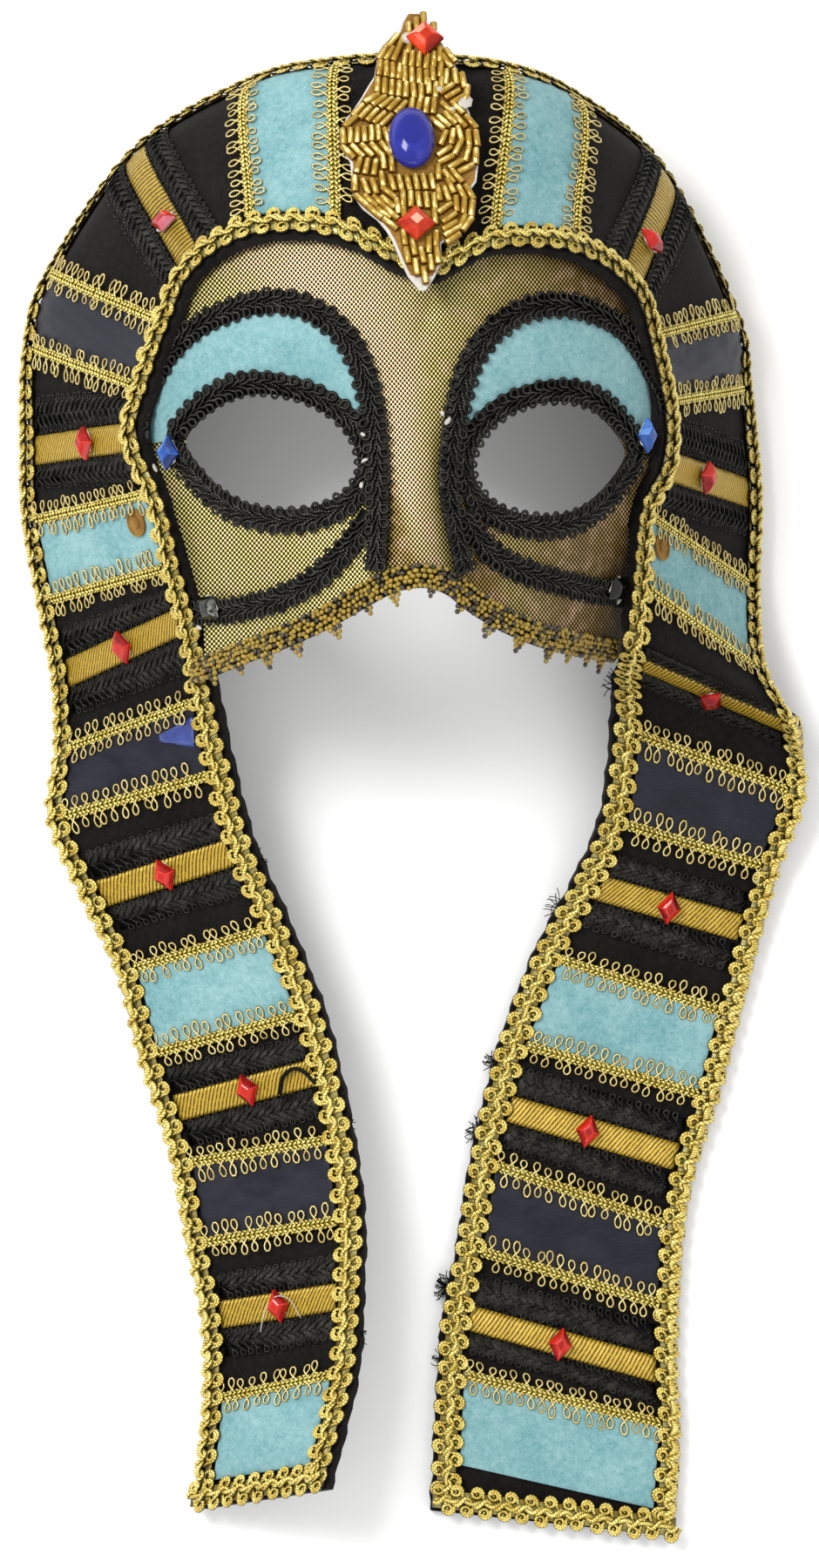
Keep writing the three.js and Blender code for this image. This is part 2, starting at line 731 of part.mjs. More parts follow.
function ornamentShape(inset) {
  const side = (column, sign) => ornamentOutline.map((row) => {
    const pulled = row[0] > 0
      ? row[0] - inset * ornament.crownPull
      : row[0] + (row[0] < ornament.tip.below ? inset * ornament.tip.pull : 0);
    return new THREE.Vector2(sign * Math.max(row[column] - inset, ornament.narrowest), pulled);
  });
  return new THREE.Shape([...side(2, 1), ...side(1, -1).reverse()]);
}

function plate(shape, low, thickness) {
  const block = new THREE.ExtrudeGeometry(shape, { depth: thickness, bevelEnabled: false });
  block.translate(0, 0, low);
  return solidFrom(block);
}

function underStone(x, y) {
  const { cabochon, gems, gemDiagonal } = ornament;
  const room = ornament.barLength / 2;
  const besideX = (x - cabochon.x) / (cabochon.halfWidth + room);
  const besideY = (y - cabochon.y) / (cabochon.halfHeight + room);
  const byGem = gems.some((gem) => Math.abs(x - gem.x) + Math.abs(y - gem.y) < gemDiagonal / 2 + room);
  return Math.hypot(besideX, besideY) < 1 || byGem;
}

function beadPad(low) {
  const { pad, padInset, barLength, barRadius, barPitch, barRows, barFan } = ornament;
  const top = low + pad;
  const solids = [plate(ornamentShape(padInset), low, pad)];
  const rowPitch = barLength + ornament.barRowGap;
  const edge = padInset + ornament.barEdge;
  for (let y = barRows.first; y > barRows.last; y -= rowPitch) {
    const reach = reachAt(y);
    const first = Math.ceil((edge - reach.left) / barPitch);
    for (let x = first * barPitch; x <= reach.right - edge; x += barPitch) {
      if (underStone(x, y)) continue;
      const bar = new THREE.CylinderGeometry(barRadius, barRadius, barLength, 4);
      bar.rotateZ((-x / barFan.at) * barFan.turn * Math.sign(y - barFan.middle));
      bar.translate(x, y, top);
      solids.push(solidFrom(bar));
    }
  }
  return joined(solids);
}

function crestOrnament() {
  const crest = new THREE.Group();
  const [x, y, z, innerX, innerY, innerZ] = leftStations[0];
  const slope = Math.atan2(innerZ - z, y - innerY);
  crest.rotation.x = ornament.lean - slope;
  crest.position.set(x + ornament.aside, y, z + seamHeight);
  crest.position.y -= ornament.below * Math.cos(slope);
  crest.position.z += ornament.below * Math.sin(slope);
  const low = surfaceHeight + borderBraid.height + gap + ornament.overSwell - seamHeight;
  const padLow = low + ornament.backing + gap;
  const stoneLow = padLow + ornament.pad + gap;
  const { cabochon } = ornament;
  const backing = plate(ornamentShape(0), low, ornament.backing);
  crest.add(meshNamed("ornament_backing", backing, finishes.whiteFelt));
  crest.add(meshNamed("ornament_beads", beadPad(padLow), finishes.bugleBead));

  const dome = [new THREE.Vector2(0, 0)];
  const rings = 5;
  for (let i = 0; i <= rings; i += 1) {
    const turn = (i / rings) * (Math.PI / 2);
    const rise = cabochon.rim + (cabochon.height - cabochon.rim) * Math.sin(turn);
    dome.push(new THREE.Vector2(i === rings ? 0 : Math.cos(turn), rise));
  }
  dome.splice(1, 0, new THREE.Vector2(cabochon.foot, 0));
  const stone = new THREE.LatheGeometry(dome, 16);
  stone.rotateX(Math.PI / 2);
  stone.scale(cabochon.halfWidth, cabochon.halfHeight, 1);
  stone.translate(cabochon.x, cabochon.y, stoneLow);
  crest.add(meshNamed("blue_cabochon", solidFrom(stone), finishes.blueStone));

  for (const gem of ornament.gems) {
    const half = ornament.gemDiagonal / 2;
    const cut = cutStone(half, half, ornament.gemHeight);
    cut.translate(gem.x, gem.y, stoneLow);
    crest.add(meshNamed(gem.name, solidFrom(cut), finishes.redStone));
  }
  return crest;
}

// Assembly
const group = new THREE.Group();
group.position.set(-middle.x, -middle.y, 0);

group.add(meshNamed("face_mask", faceMask(), finishes.lame));
group.add(meshNamed("headdress_base", headdressBase(), finishes.blackFelt));
group.add(meshNamed("outer_border_braid", outerBorder(), finishes.goldBraid));
group.add(meshNamed("inner_border_braid", innerBorder(), finishes.goldBraid));
const beads = maskLayer(gap, gap + beadTrim.height).intersect(beadTrimPrism(0)).subtract(bandClearance);
group.add(meshNamed("bead_trim", beads, finishes.seedBead));

const panelPlaces = ["crown", "temple", "cheek", "jaw", "upper_lappet", "lower_lappet", "hem"];
for (const side of sides) {
  const { name, sign } = side;
  group.add(meshNamed(`hem_braid_${name}`, hem(sign), finishes.goldBraid));
  panelStations.forEach((first, i) => {
    const isTurquoise = i % 2 === 0;
    const label = `${isTurquoise ? "turquoise" : "navy"}_panel_${panelPlaces[i]}_${name}`;
    const material = isTurquoise ? finishes.turquoiseFelt : finishes.navySatin;
    group.add(meshNamed(label, colourPanel(sign, first), material));
  });
  ribbonStations.forEach((station, i) => {
    group.add(meshNamed(`gold_ribbon_${i + 1}_${name}`, ribbonStripe(sign, station), finishes.goldRibbon));
    group.add(meshNamed(`red_stone_${i + 1}_${name}`, ribbonStone(sign, station), finishes.redStone));
  });
  group.add(meshNamed(`strap_rivet_${name}`, strapRivet(sign), finishes.brass));
  group.add(meshNamed(`eye_gimp_${name}`, eyeTrim(side), finishes.blackGimp));
  group.add(meshNamed(`eyelid_panel_${name}`, eyelidPanel(side), finishes.turquoiseFelt));
  const blue = maskStone(blueStone, blueStone[name], sign);
  group.add(meshNamed(`blue_stone_${name}`, blue, finishes.blueStone));
  const clear = maskStone(clearStone, clearStone[name], sign);
  group.add(meshNamed(`clear_stone_${name}`, clear, finishes.clearStone));
}
group.add(crestOrnament());

export default group;
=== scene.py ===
import math
import random
import bpy
import numpy as np
from mathutils import Matrix, Vector


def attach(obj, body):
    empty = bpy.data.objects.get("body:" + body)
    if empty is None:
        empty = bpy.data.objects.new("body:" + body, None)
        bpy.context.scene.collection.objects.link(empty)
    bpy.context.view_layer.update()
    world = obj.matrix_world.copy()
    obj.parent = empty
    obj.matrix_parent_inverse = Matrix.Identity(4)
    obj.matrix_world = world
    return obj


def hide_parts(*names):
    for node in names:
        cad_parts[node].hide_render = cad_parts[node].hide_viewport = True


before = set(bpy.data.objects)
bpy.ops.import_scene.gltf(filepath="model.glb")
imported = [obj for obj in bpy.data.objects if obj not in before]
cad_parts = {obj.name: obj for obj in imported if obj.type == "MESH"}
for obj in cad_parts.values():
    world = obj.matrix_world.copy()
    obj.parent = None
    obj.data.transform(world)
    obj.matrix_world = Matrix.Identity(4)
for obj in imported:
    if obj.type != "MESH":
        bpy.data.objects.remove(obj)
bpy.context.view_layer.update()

# An Egyptian queen costume mask, lying face up: a lamé half mask under a felt headdress with two
# long lappets. Sizes below are in millimetres. Trims are modelled flat, as they come off the reel,
# and then laid on the headdress or the mask.

MM = 0.001

# Where the frame's origin lies in the places used below
MIDDLE = np.array([7.175, -2.92, 0.0])

# The felt: its thickness, and how far it goes past the seams, the mask and the hem
FELT = {"thick": 2.5, "past_outer": 1.9, "past_inner": 3.4, "beside_mask": 1.6, "past_hem": 3.0}
BORDER_WIDTH = 9.2
HEM_WIDTH = 9.6
CROSS_WIDTH = 2.8
STRIPE_WIDTH = 7.6
RIBBON_WIDTH = 6.4
GAP = 0.35
INSIDE_BRAID = BORDER_WIDTH / 2 + GAP
GIMP_OFFSET = RIBBON_WIDTH / 2 + GAP + STRIPE_WIDTH / 2
PANEL_THICK = 0.9
SURFACE = FELT["thick"] + 0.15

# Outer seam and inner seam of the headdress at 21 stations from crown to hem
LEFT_STATIONS = [
    [1, 176, 56, 1, 124, 84], [-19, 175, 51, -21, 133, 79], [-38, 171, 37, -41, 133, 68],
    [-65, 155, 15, -55, 124, 57], [-86, 124, 6, -61, 110, 52], [-91, 106, 3, -66, 94, 47],
    [-91, 79, 3, -68.2, 82, 45], [-90, 62, 3, -63.2, 68, 46.5], [-86, 42, 3, -57.8, 50, 44],
    [-82, 23, 3, -53, 38, 41], [-81, 5, 2, -48, 18, 33], [-82, -12, 2, -43, 0, 27],
    [-73, -32, 2, -37, -19, 24], [-64, -50, 2, -28, -38, 22], [-58, -71, 2, -19, -59, 22],
    [-53, -85, 2, -15, -73, 22], [-49, -98, 2, -11, -90, 22], [-45, -118, 2, -8, -110, 22],
    [-41, -136, 2, -8, -129, 22], [-40, -157, 2, -9, -148, 23], [-42, -181, 2, -15, -174, 25],
]
RIGHT_STATIONS = [
    [1, 176, 56, 1, 124, 84], [22, 175, 51, 18, 131, 80], [40, 170, 37, 39, 131, 70],
    [65, 154, 15, 55, 122, 58], [86, 118, 6, 61, 110, 52], [90, 100, 3, 66, 94, 46],
    [93, 73, 3, 66, 78, 46], [93, 50, 3, 61, 66, 47], [94, 29, 10, 61, 48, 42],
    [103, 13, 10, 60, 29, 31], [105, -2, 8, 60, 13, 20], [99, -21, 3, 58, -10, 12],
    [95, -37, 1, 52, -26, 5], [90, -58, 0, 43, -44, 1], [85, -79, 0, 35, -66, 0],
    [80, -95, 0, 31, -82, 0], [77, -112, 0, 28, -96, 0], [76, -132, 0, 25, -118, 0],
    [76, -149, 0, 22, -135, 0], [77, -162, 0, 21, -149, 0], [76, -187, 0, 20, -181, 0],
]
STATIONS = np.array(LEFT_STATIONS[1:][::-1] + RIGHT_STATIONS, float)
LAST = 20
SEAM_HEIGHT = 4.0

# The fold across the right side, and the swell of the band at the crown
FOLD = {"station": 9, "drop": 6.0, "steepness": 0.22, "reach": 1.1}
SWELL = {"height": 5.0, "at": 12.0, "full_to": 3.0, "gone_at": 6.0}

RIBBON_STATIONS = [3, 6, 9, 12, 15, 18]
PANEL_STATIONS = [1, 4, 7, 10, 13, 16, 19]
PANEL_PLACES = ["crown", "temple", "cheek", "jaw", "upper_lappet", "lower_lappet", "hem"]
CROSS_STATIONS = [1, 2, 4, 5, 7, 8, 10, 11, 13, 14, 16, 17, 19]
SIDES = [("left", -1), ("right", 1)]

# The line of the trim round each eye: an oval that narrows to its outer corner
EYE = {
    "left_x": 34.0, "right_x": 33.8, "y": 78.3, "half_width": 22.6, "half_height": 16.6,
    "tilt": 0.12, "corner": 0.47,
}
EYE_GIMP = 6.8
BROW_ARCH = {
    "left": [
        (62, 80), (62.7, 86.7), (61.7, 93), (59.8, 98.3), (56.6, 103.7), (50, 109.6),
        (39.8, 113.8), (28.9, 113.7), (19.2, 107.9), (13.2, 98.1), (9.8, 84.2), (8.7, 70),
        (8.6, 58), (9, 49.5),
    ],
    "right": [
        (62, 89.8), (61.1, 95.7), (59.2, 100.9), (56.1, 105.7), (50, 111.5), (39.2, 115.2),
        (28, 114.4), (18.5, 109), (12.4, 100.2), (8.7, 86.8), (6.9, 72.5), (8, 62.5), (11.4, 49.5),
    ],
}
LOWER_STROKE = {
    "left": [
        (10.6, 63.5), (12.4, 59.9), (17.4, 53.4), (25.1, 46), (34.7, 41.5), (45.2, 39.7),
        (54, 39.7),
    ],
    "right": [
        (10.8, 64), (13.2, 60.7), (18, 55), (26.1, 50.9), (37.7, 48.2), (48, 46.9), (60, 46.5),
    ],
}
BEAD_LINE = [
    (-50, 25), (-47, 26), (-38, 30), (-30, 33.5), (-21, 38), (-12, 43.5), (-5, 47.3),
    (2, 48.5), (8, 47), (14, 43), (22, 38.8), (32, 35.4), (43, 33.6), (55, 32.5),
]
BEAD_TRIM_WIDTH = 5.8

# The form of the mask: an arch over the face, lower and narrower at the cheeks, that falls away
# above the brow, with a hollow round each eye and a ridge for the nose
FACE = {
    "half_width": 67, "cheek_loss": 14, "side": 42, "side_loss": 8, "crown": 84, "roundness": 2.3,
    "cheek_from": 80, "cheek_reach": 55, "brow_from": 100, "brow_fall": 0.004,
}
EYE_HOLLOW = {"depth": 6, "x": 33, "y": 84, "reach_x": 17, "reach_y": 13}
NOSE = {"height": 7, "half_width": 9.5, "from": 100, "reach": 45}
SHELL_LEFT, SHELL_WIDTH, SHELL_BOTTOM, SHELL_LENGTH = -71, 142, 16, 126
SLOPE_STEP = 0.5
STATION_STEP = 0.05


# Curves and surfaces

def smooth_step(value, low, high):
    """A share that eases from 0 at low to 1 at high."""
    share = np.clip((np.asarray(value, float) - low) / (high - low), 0, 1)
    return share * share * (3 - 2 * share)


def bell(distance, spread):
    """A hump that is 1 at no distance and fades over the spread."""
    return np.exp(-((np.asarray(distance, float) / spread) ** 2))


def unit_rows(rows):
    return rows / np.linalg.norm(rows, axis=-1, keepdims=True)


def seam_curve(points, share, straight_ends=True):
    """Points of the smooth line through the given ones, at shares from 0 to 1."""
    points = np.asarray(points, float)
    count = len(points)
    if straight_ends:
        first, last = 2 * points[0] - points[1], 2 * points[-1] - points[-2]
    else:
        first, last = points[0], points[-1]
    padded = np.vstack([first, points, last])
    place = np.clip(np.asarray(share, float), 0, 1) * (count - 1)
    span = np.minimum(place.astype(int), count - 2)
    part = (place - span)[:, None]
    a, b, c, d = (padded[span + k] for k in range(4))
    start, end = (c - a) / 2, (d - b) / 2
    return (
        b
        + start * part
        + (3 * (c - b) - 2 * start - end) * part**2
        + (2 * (b - c) + start + end) * part**3
    )


def seam_points(columns, station):
    """Points of one seam of the headdress, run on past its ends, with the fold of the right
    side."""
    station = np.atleast_1d(np.asarray(station, float))
    held = np.clip(station, -LAST, LAST)
    seam = STATIONS[:, columns]
    points = seam_curve(seam, (held + LAST) / (2 * LAST))
    beyond = station != held
    if beyond.any():
        step = 0.1 * np.sign(station[beyond])
        before = seam_curve(seam, (held[beyond] - step + LAST) / (2 * LAST))
        points[beyond] += (points[beyond] - before) * ((station - held)[beyond] / step)[:, None]
    past = station - FOLD["station"]
    fold = np.tanh(past / FOLD["steepness"]) * bell(past, FOLD["reach"])
    points[:, 2] = np.maximum(points[:, 2] - FOLD["drop"] * fold, 0) + SEAM_HEIGHT
    return points


def outer_seam(station):
    return seam_points(slice(0, 3), station)


def inner_seam(station):
    return seam_points(slice(3, 6), station)


def band_width(station):
    return np.linalg.norm(inner_seam(station) - outer_seam(station), axis=1)


def band_points(station, distance, height):
    """Places on the headdress: a station along it, a distance in from its outer seam, and a
    height above the underside of its felt."""
    station, distance, height = np.broadcast_arrays(
        np.asarray(station, float), np.asarray(distance, float), np.asarray(height, float)
    )
    outer, inner = outer_seam(station), inner_seam(station)
    across = unit_rows(inner - outer)
    ahead = outer_seam(station + STATION_STEP) + inner_seam(station + STATION_STEP)
    behind = outer_seam(station - STATION_STEP) + inner_seam(station - STATION_STEP)
    up = unit_rows(np.cross(across, ahead - behind))
    width = np.linalg.norm(inner - outer, axis=1)
    fade = smooth_step(np.abs(station), SWELL["full_to"], SWELL["gone_at"])
    near_edge = 1 - (1 - distance / SWELL["at"]) ** 2
    past = (distance - SWELL["at"]) / np.maximum(width - SWELL["at"], 1)
    beyond = 1 - smooth_step(past, 0, 1)
    swell = SWELL["height"] * (1 - fade) * np.where(distance < SWELL["at"], near_edge, beyond)
    lift = height - SEAM_HEIGHT + swell
    points = outer + across * distance[:, None] + up * lift[:, None]
    points[:, 2] = np.maximum(points[:, 2], 0)
    return points


def station_after(station, distance, length):
    """The station that lies a given length past another, at a distance from the outer seam."""
    ahead = band_points(station + STATION_STEP, distance, 0.0)
    behind = band_points(station - STATION_STEP, distance, 0.0)
    return station + length * 2 * STATION_STEP / np.linalg.norm(ahead - behind, axis=1)


def mask_height(x, y):
    """How high the outside of the mask lies."""
    cheek = smooth_step((FACE["cheek_from"] - y) / FACE["cheek_reach"], 0, 1)
    half_width = FACE["half_width"] - FACE["cheek_loss"] * cheek
    side = FACE["side"] - FACE["side_loss"] * cheek
    height = side + (FACE["crown"] - side) * (1 - np.abs(x / half_width) ** FACE["roundness"])
    height = height - FACE["brow_fall"] * np.maximum(0, y - FACE["brow_from"]) ** 2
    eyes = bell(x - EYE_HOLLOW["x"], EYE_HOLLOW["reach_x"])
    eyes = eyes + bell(x + EYE_HOLLOW["x"], EYE_HOLLOW["reach_x"])
    hollow = EYE_HOLLOW["depth"] * bell(y - EYE_HOLLOW["y"], EYE_HOLLOW["reach_y"])
    ridge = NOSE["height"] * smooth_step((NOSE["from"] - y) / NOSE["reach"], 0, 1)
    return height - hollow * eyes + ridge * bell(x, NOSE["half_width"])


def mask_up(x, y):
    """The way straight out of the mask at these places."""
    slope_x = (mask_height(x + SLOPE_STEP, y) - mask_height(x - SLOPE_STEP, y)) / (2 * SLOPE_STEP)
    slope_y = (mask_height(x, y + SLOPE_STEP) - mask_height(x, y - SLOPE_STEP)) / (2 * SLOPE_STEP)
    return unit_rows(np.stack([-slope_x, -slope_y, np.ones_like(slope_x)], axis=1))


def mask_points(x, y, height):
    surface = np.stack([x, y, mask_height(x, y)], axis=1)
    return surface + mask_up(x, y) * np.broadcast_to(height, x.shape)[:, None]


# Handling pieces

def take_up(*pieces):
    """Selects these pieces and nothing else, with the first one active."""
    bpy.ops.object.select_all(action="DESELECT")
    for piece in pieces:
        piece.select_set(True)
    bpy.context.view_layer.objects.active = pieces[0]


def points_of(piece):
    points = np.empty(len(piece.data.vertices) * 3)
    piece.data.vertices.foreach_get("co", points)
    return points.reshape(-1, 3)


def move_points(piece, points):
    piece.data.vertices.foreach_set("co", np.asarray(points, float).ravel())
    piece.data.update()


def map_of(piece):
    layer = piece.data.uv_layers[0]
    spots = np.empty(len(layer.data) * 2)
    layer.data.foreach_get("uv", spots)
    return spots.reshape(-1, 2)


def set_map(piece, spots):
    piece.data.uv_layers[0].data.foreach_set("uv", np.asarray(spots, float).ravel())


def place_in_frame(piece, points):
    """Puts a piece where its millimetre points say, in the frame's metres."""
    move_points(piece, (points - MIDDLE) * MM)


def joined(name, pieces):
    take_up(*pieces)
    if len(pieces) > 1:
        bpy.ops.object.join()
    piece = bpy.context.object
    piece.name = name
    piece.data.name = name
    return piece


def applied(piece, kind, **settings):
    take_up(piece)
    bpy.ops.object.modifier_add(type=kind)
    modifier = piece.modifiers[-1]
    for key, value in settings.items():
        setattr(modifier, key, value)
    bpy.ops.object.modifier_apply(modifier=modifier.name)
    return piece


def settle(piece):
    """Moves a piece's place, turn and size into its mesh."""
    take_up(piece)
    bpy.ops.object.transform_apply(location=True, rotation=True, scale=True)
    return piece


def extrude_up(height):
    bpy.ops.mesh.extrude_region_move(TRANSFORM_OT_translate={"value": (0, 0, height)})


def face_out(piece):
    """Turns all faces of a closed piece outwards."""
    take_up(piece)
    bpy.ops.object.mode_set(mode="EDIT")
    bpy.ops.mesh.select_all(action="SELECT")
    bpy.ops.mesh.normals_make_consistent(inside=False)
    bpy.ops.object.mode_set(mode="OBJECT")


def raise_block(sheet, height):
    """Raises a flat sheet into a block of this height."""
    take_up(sheet)
    bpy.ops.object.mode_set(mode="EDIT")
    bpy.ops.mesh.select_all(action="SELECT")
    extrude_up(height)
    bpy.ops.object.mode_set(mode="OBJECT")
    face_out(sheet)


def flat_sheet(outline, height):
    """A single face with this outline, at this height."""
    bpy.ops.mesh.primitive_circle_add(vertices=len(outline), radius=1, fill_type="NGON")
    sheet = bpy.context.object
    move_points(sheet, np.column_stack([outline, np.full(len(outline), height)]))
    return sheet


def edit_top(piece):
    """Opens a piece for editing with only its upward faces selected."""
    bpy.ops.object.mode_set(mode="EDIT")
    bpy.ops.mesh.select_mode(type="FACE")
    bpy.ops.mesh.select_all(action="DESELECT")
    bpy.ops.object.mode_set(mode="OBJECT")
    for face in piece.data.polygons:
        face.select = face.normal.z > 0.9
    bpy.ops.object.mode_set(mode="EDIT")


def bevelled(piece, width, angle, segments=2):
    """Rounds the edges that are sharper than an angle in degrees."""
    limit = math.radians(angle)
    return applied(
        piece, "BEVEL", width=width, segments=segments, limit_method="ANGLE", angle_limit=limit
    )


def finish_piece(piece, name, finish, stands_for=(), smooth=True, angle=None):
    """Names a piece, gives it its finish and slot, hangs it under the root body, and hides the
    solids it stands for.
    """
    piece.name = name
    piece.data.name = name
    piece.data.materials.clear()
    piece.data.materials.append(FINISHES[finish])
    take_up(piece)
    if angle is not None:
        bpy.ops.object.shade_smooth_by_angle(angle=math.radians(angle))
    elif smooth:
        bpy.ops.object.shade_smooth()
    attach(piece, "root")
    if stands_for:
        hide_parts(*stands_for)
    return piece


def mark_painted_shading(piece, low, high, least=0.4):
    """Records on each point of a flat trim how far it lies up and faces up, so that a finish can
    paint shade into the hollows between its threads and a highlight on their upturned crowns.
    The lowest parts, such as a backing tape, get the darkest painted shade."""
    facing = np.empty(len(piece.data.vertices) * 3)
    piece.data.vertex_normals.foreach_get("vector", facing)
    facing = np.clip(facing.reshape(-1, 3)[:, 2], 0, 1)
    share = np.clip((points_of(piece)[:, 2] - low) / (high - low), 0, 1)
    layer = piece.data.attributes.new("depth", "FLOAT", "POINT")
    layer.data.foreach_set("value", facing * (least + (1 - least) * share))
    return piece


# Pieces of trim, modelled flat

def cord(points, thickness, wrap=0.5, sides=4, closed=False):
    """A cord of even thickness along a line. Its map counts the turns of the thread round it."""
    line = bpy.data.curves.new("cord", "CURVE")
    line.dimensions = "3D"
    run = line.splines.new("POLY")
    run.points.add(len(points) - 1)
    for spot, point in zip(run.points, points):
        spot.co = (*point, 1)
    run.use_cyclic_u = closed
    line.bevel_depth = thickness / 2
    line.bevel_resolution = 0 if sides == 4 else 1
    line.use_fill_caps = not closed
    piece = bpy.data.objects.new("cord", line)
    bpy.context.scene.collection.objects.link(piece)
    take_up(piece)
    bpy.ops.object.convert(target="MESH")
    piece = bpy.context.object
    steps = np.diff(np.asarray(points, float), axis=0)
    length = np.linalg.norm(steps, axis=1).sum()
    spots = map_of(piece)
    spots[:, 0] *= length / wrap
    set_map(piece, spots)
    return piece


def bead(at, size, segments=6, rings=4, turn=0.0):
    bpy.ops.mesh.primitive_uv_sphere_add(
        segments=segments, ring_count=rings, radius=0.5, location=at, rotation=(0, 0, turn),
        scale=size,
    )
    return settle(bpy.context.object)


def tape(length, width, low, thick, step=1.5):
    """The flat backing that the loops of a trim are stitched to, cut across every few steps."""
    bpy.ops.mesh.primitive_cube_add(
        size=1, location=(length / 2, 0, low + thick / 2), scale=(length, width, thick)
    )
    piece = settle(bpy.context.object)
    bpy.ops.object.mode_set(mode="EDIT")
    bpy.ops.mesh.select_mode(type="EDGE")
    bpy.ops.mesh.select_all(action="DESELECT")
    bpy.ops.object.mode_set(mode="OBJECT")
    for edge in piece.data.edges:
        ends = [piece.data.vertices[k].co for k in edge.vertices]
        edge.select = abs(ends[0].x - ends[1].x) > length / 2
    bpy.ops.object.mode_set(mode="EDIT")
    bpy.ops.mesh.subdivide(number_cuts=max(int(length / step), 1))
    bpy.ops.object.mode_set(mode="OBJECT")
    return piece


def row_of(unit, count, pitch):
    """A row of copies of one modelled unit, with its own mesh."""
    piece = unit.copy()
    piece.data = unit.data.copy()
    bpy.context.scene.collection.objects.link(piece)
    return applied(
        piece,
        "ARRAY",
        use_relative_offset=False,
        use_constant_offset=True,
        constant_offset_displace=(pitch, 0, 0),
        count=count,
    )


def made_uneven(row, unit_points, seed, slide=0.0, stretch=0.0, lean=0.0, rise=0.0):
    """Gives each group of points in a row a small shift, length, lean and lift of its own, as
    hand-laid trim has."""
    points = points_of(row)
    groups = len(points) // unit_points
    rng = np.random.default_rng(seed)
    throw = np.repeat(rng.uniform(-1, 1, (groups, 4)), unit_points, axis=0)
    reach = np.abs(points[:, 1])
    points[:, 0] += throw[:, 0] * slide + throw[:, 2] * lean * reach
    points[:, 1] *= 1 + throw[:, 1] * stretch
    points[:, 2] += throw[:, 3] * rise * reach
    move_points(row, points)


def size_of(unit):
    """The number of points in a modelled unit of trim."""
    return len(UNITS[unit].data.vertices)


SCROLL_PITCH = 5.0
HEM_PITCH = 4.6
GIMP_PITCH = 2.35
EYE_GIMP_PITCH = 3.35
LOOP_PITCH = 3.0
STITCH_PITCH = 1.3
COIL = {"edge": 4.35, "inset": 0.48, "height": 1.15, "thickness": 0.98}
TWIST = {"sway": 0.55, "length": 5.2, "height": 2.1, "thickness": 1.14, "bend": 0.55, "step": 0.52}


def coil_pair(pitch, radius):
    """One repeat of the gold scroll braid: on each side a cord that leaves the middle and winds
    into a coil."""
    turns, first, step, tightening, climb = 15, 200, 38.5, 0.56, 0.014
    middle = COIL["edge"] - radius
    parts = []
    for side, x in ((1, 0.25 * pitch), (-1, 0.75 * pitch)):
        line = [(x - 2.1, 0.3, 0.9), (x - 1.7, 1.2, COIL["height"])]
        for k in range(turns):
            turn = math.radians(first - step * k)
            reach = (radius - COIL["inset"]) * (1 - tightening * k / (turns - 1))
            line.append((
                x + reach * math.cos(turn), middle + reach * math.sin(turn),
                COIL["height"] + climb * k,
            ))
        line = [(px, side * py, pz) for px, py, pz in line]
        parts.append(cord(line, COIL["thickness"], wrap=0.55, sides=6))
        parts.append(bead((x, side * middle, 0.75), (1.1, 1.1, 0.9)))
    return joined("coil_pair", parts)


def gimp_leaves(half_width, pitch, thickness):
    """One repeat of the black gimp: on each side an eyelet whose two ends run back to the
    middle."""
    turn = [math.radians(a) for a in (-60, -20, 20, 60, 100, 140, 180, 220)]
    reach = 0.3 * pitch
    eyelet = half_width - reach - thickness / 2
    tail_in = [
        (-1.1 * pitch, 0.1, 0.4), (-0.65 * pitch, 0.35, 0.85),
        (-0.25 * pitch, 0.5 * eyelet, 1.15), (0.1 * pitch, eyelet - 1.1 * reach, 1.2),
    ]
    loop = [
        (0.15 * pitch + reach * math.cos(a), eyelet + reach * math.sin(a), 1.05) for a in turn
    ]
    tail_out = [
        (-0.25 * pitch, 0.62 * eyelet, 0.85), (-0.62 * pitch, 0.3, 0.55), (-1.1 * pitch, -0.1, 0.2),
    ]
    parts = []
    for side, x in ((1, 0.0), (-1, pitch / 2)):
        line = [(x + p[0], side * p[1], p[2]) for p in tail_in + loop + tail_out]
        parts.append(cord(line, thickness, wrap=0.55))
    return joined("gimp_leaves", parts)


def wire_loops():
    """One repeat of the loops along a cross braid: an open teardrop of thin wire on each side."""
    turn = [math.radians(a) for a in (-55, -15, 25, 65, 115, 155, 195, 235)]
    loop = [(0.84 * math.cos(a), 3.15 + 1.15 * math.sin(a), 1.35) for a in turn]
    line = [(-0.75, 0.6, 1.0), (-0.15, 1.5, 1.25)] + loop + [(0.15, 1.5, 1.4), (0.75, 0.6, 1.0)]
    parts = []
    for side, x in ((1, 0.7), (-1, 0.7 + LOOP_PITCH / 2)):
        parts.append(cord([(x + p[0], side * p[1], p[2]) for p in line], 0.55, wrap=0.5))
    return joined("wire_loops", parts)


def knit_stitches():
    """One repeat of the knitted core of a cross braid: two slanted stitches and an edge thread."""
    parts = []
    for side in (1, -1):
        parts.append(bead((0.5, side * 0.42, 1.15), (1.6, 0.8, 0.9), turn=side * 0.5))
        parts.append(bead((1.0, side * 1.12, 0.85), (1.5, 0.72, 0.85), turn=-side * 0.4))
    return joined("knit_stitches", parts)


def twisted_pair(length):
    """The two strands twisted together along the middle of the scroll braid, which sway a little
    from side to side."""
    strands = []
    count = int(length / TWIST["step"])
    for phase in (0.0, math.pi):
        line = []
        for k in range(count + 1):
            x = length * k / count
            angle = 2 * math.pi * x / TWIST["length"] + phase
            bend = TWIST["bend"] * math.sin(2 * math.pi * x / SCROLL_PITCH)
            height = TWIST["height"] + TWIST["sway"] * 0.7 * math.cos(angle)
            line.append((x, TWIST["sway"] * math.sin(angle) + bend, height))
        strands.append(cord(line, TWIST["thickness"], wrap=0.62, sides=6))
    return strands


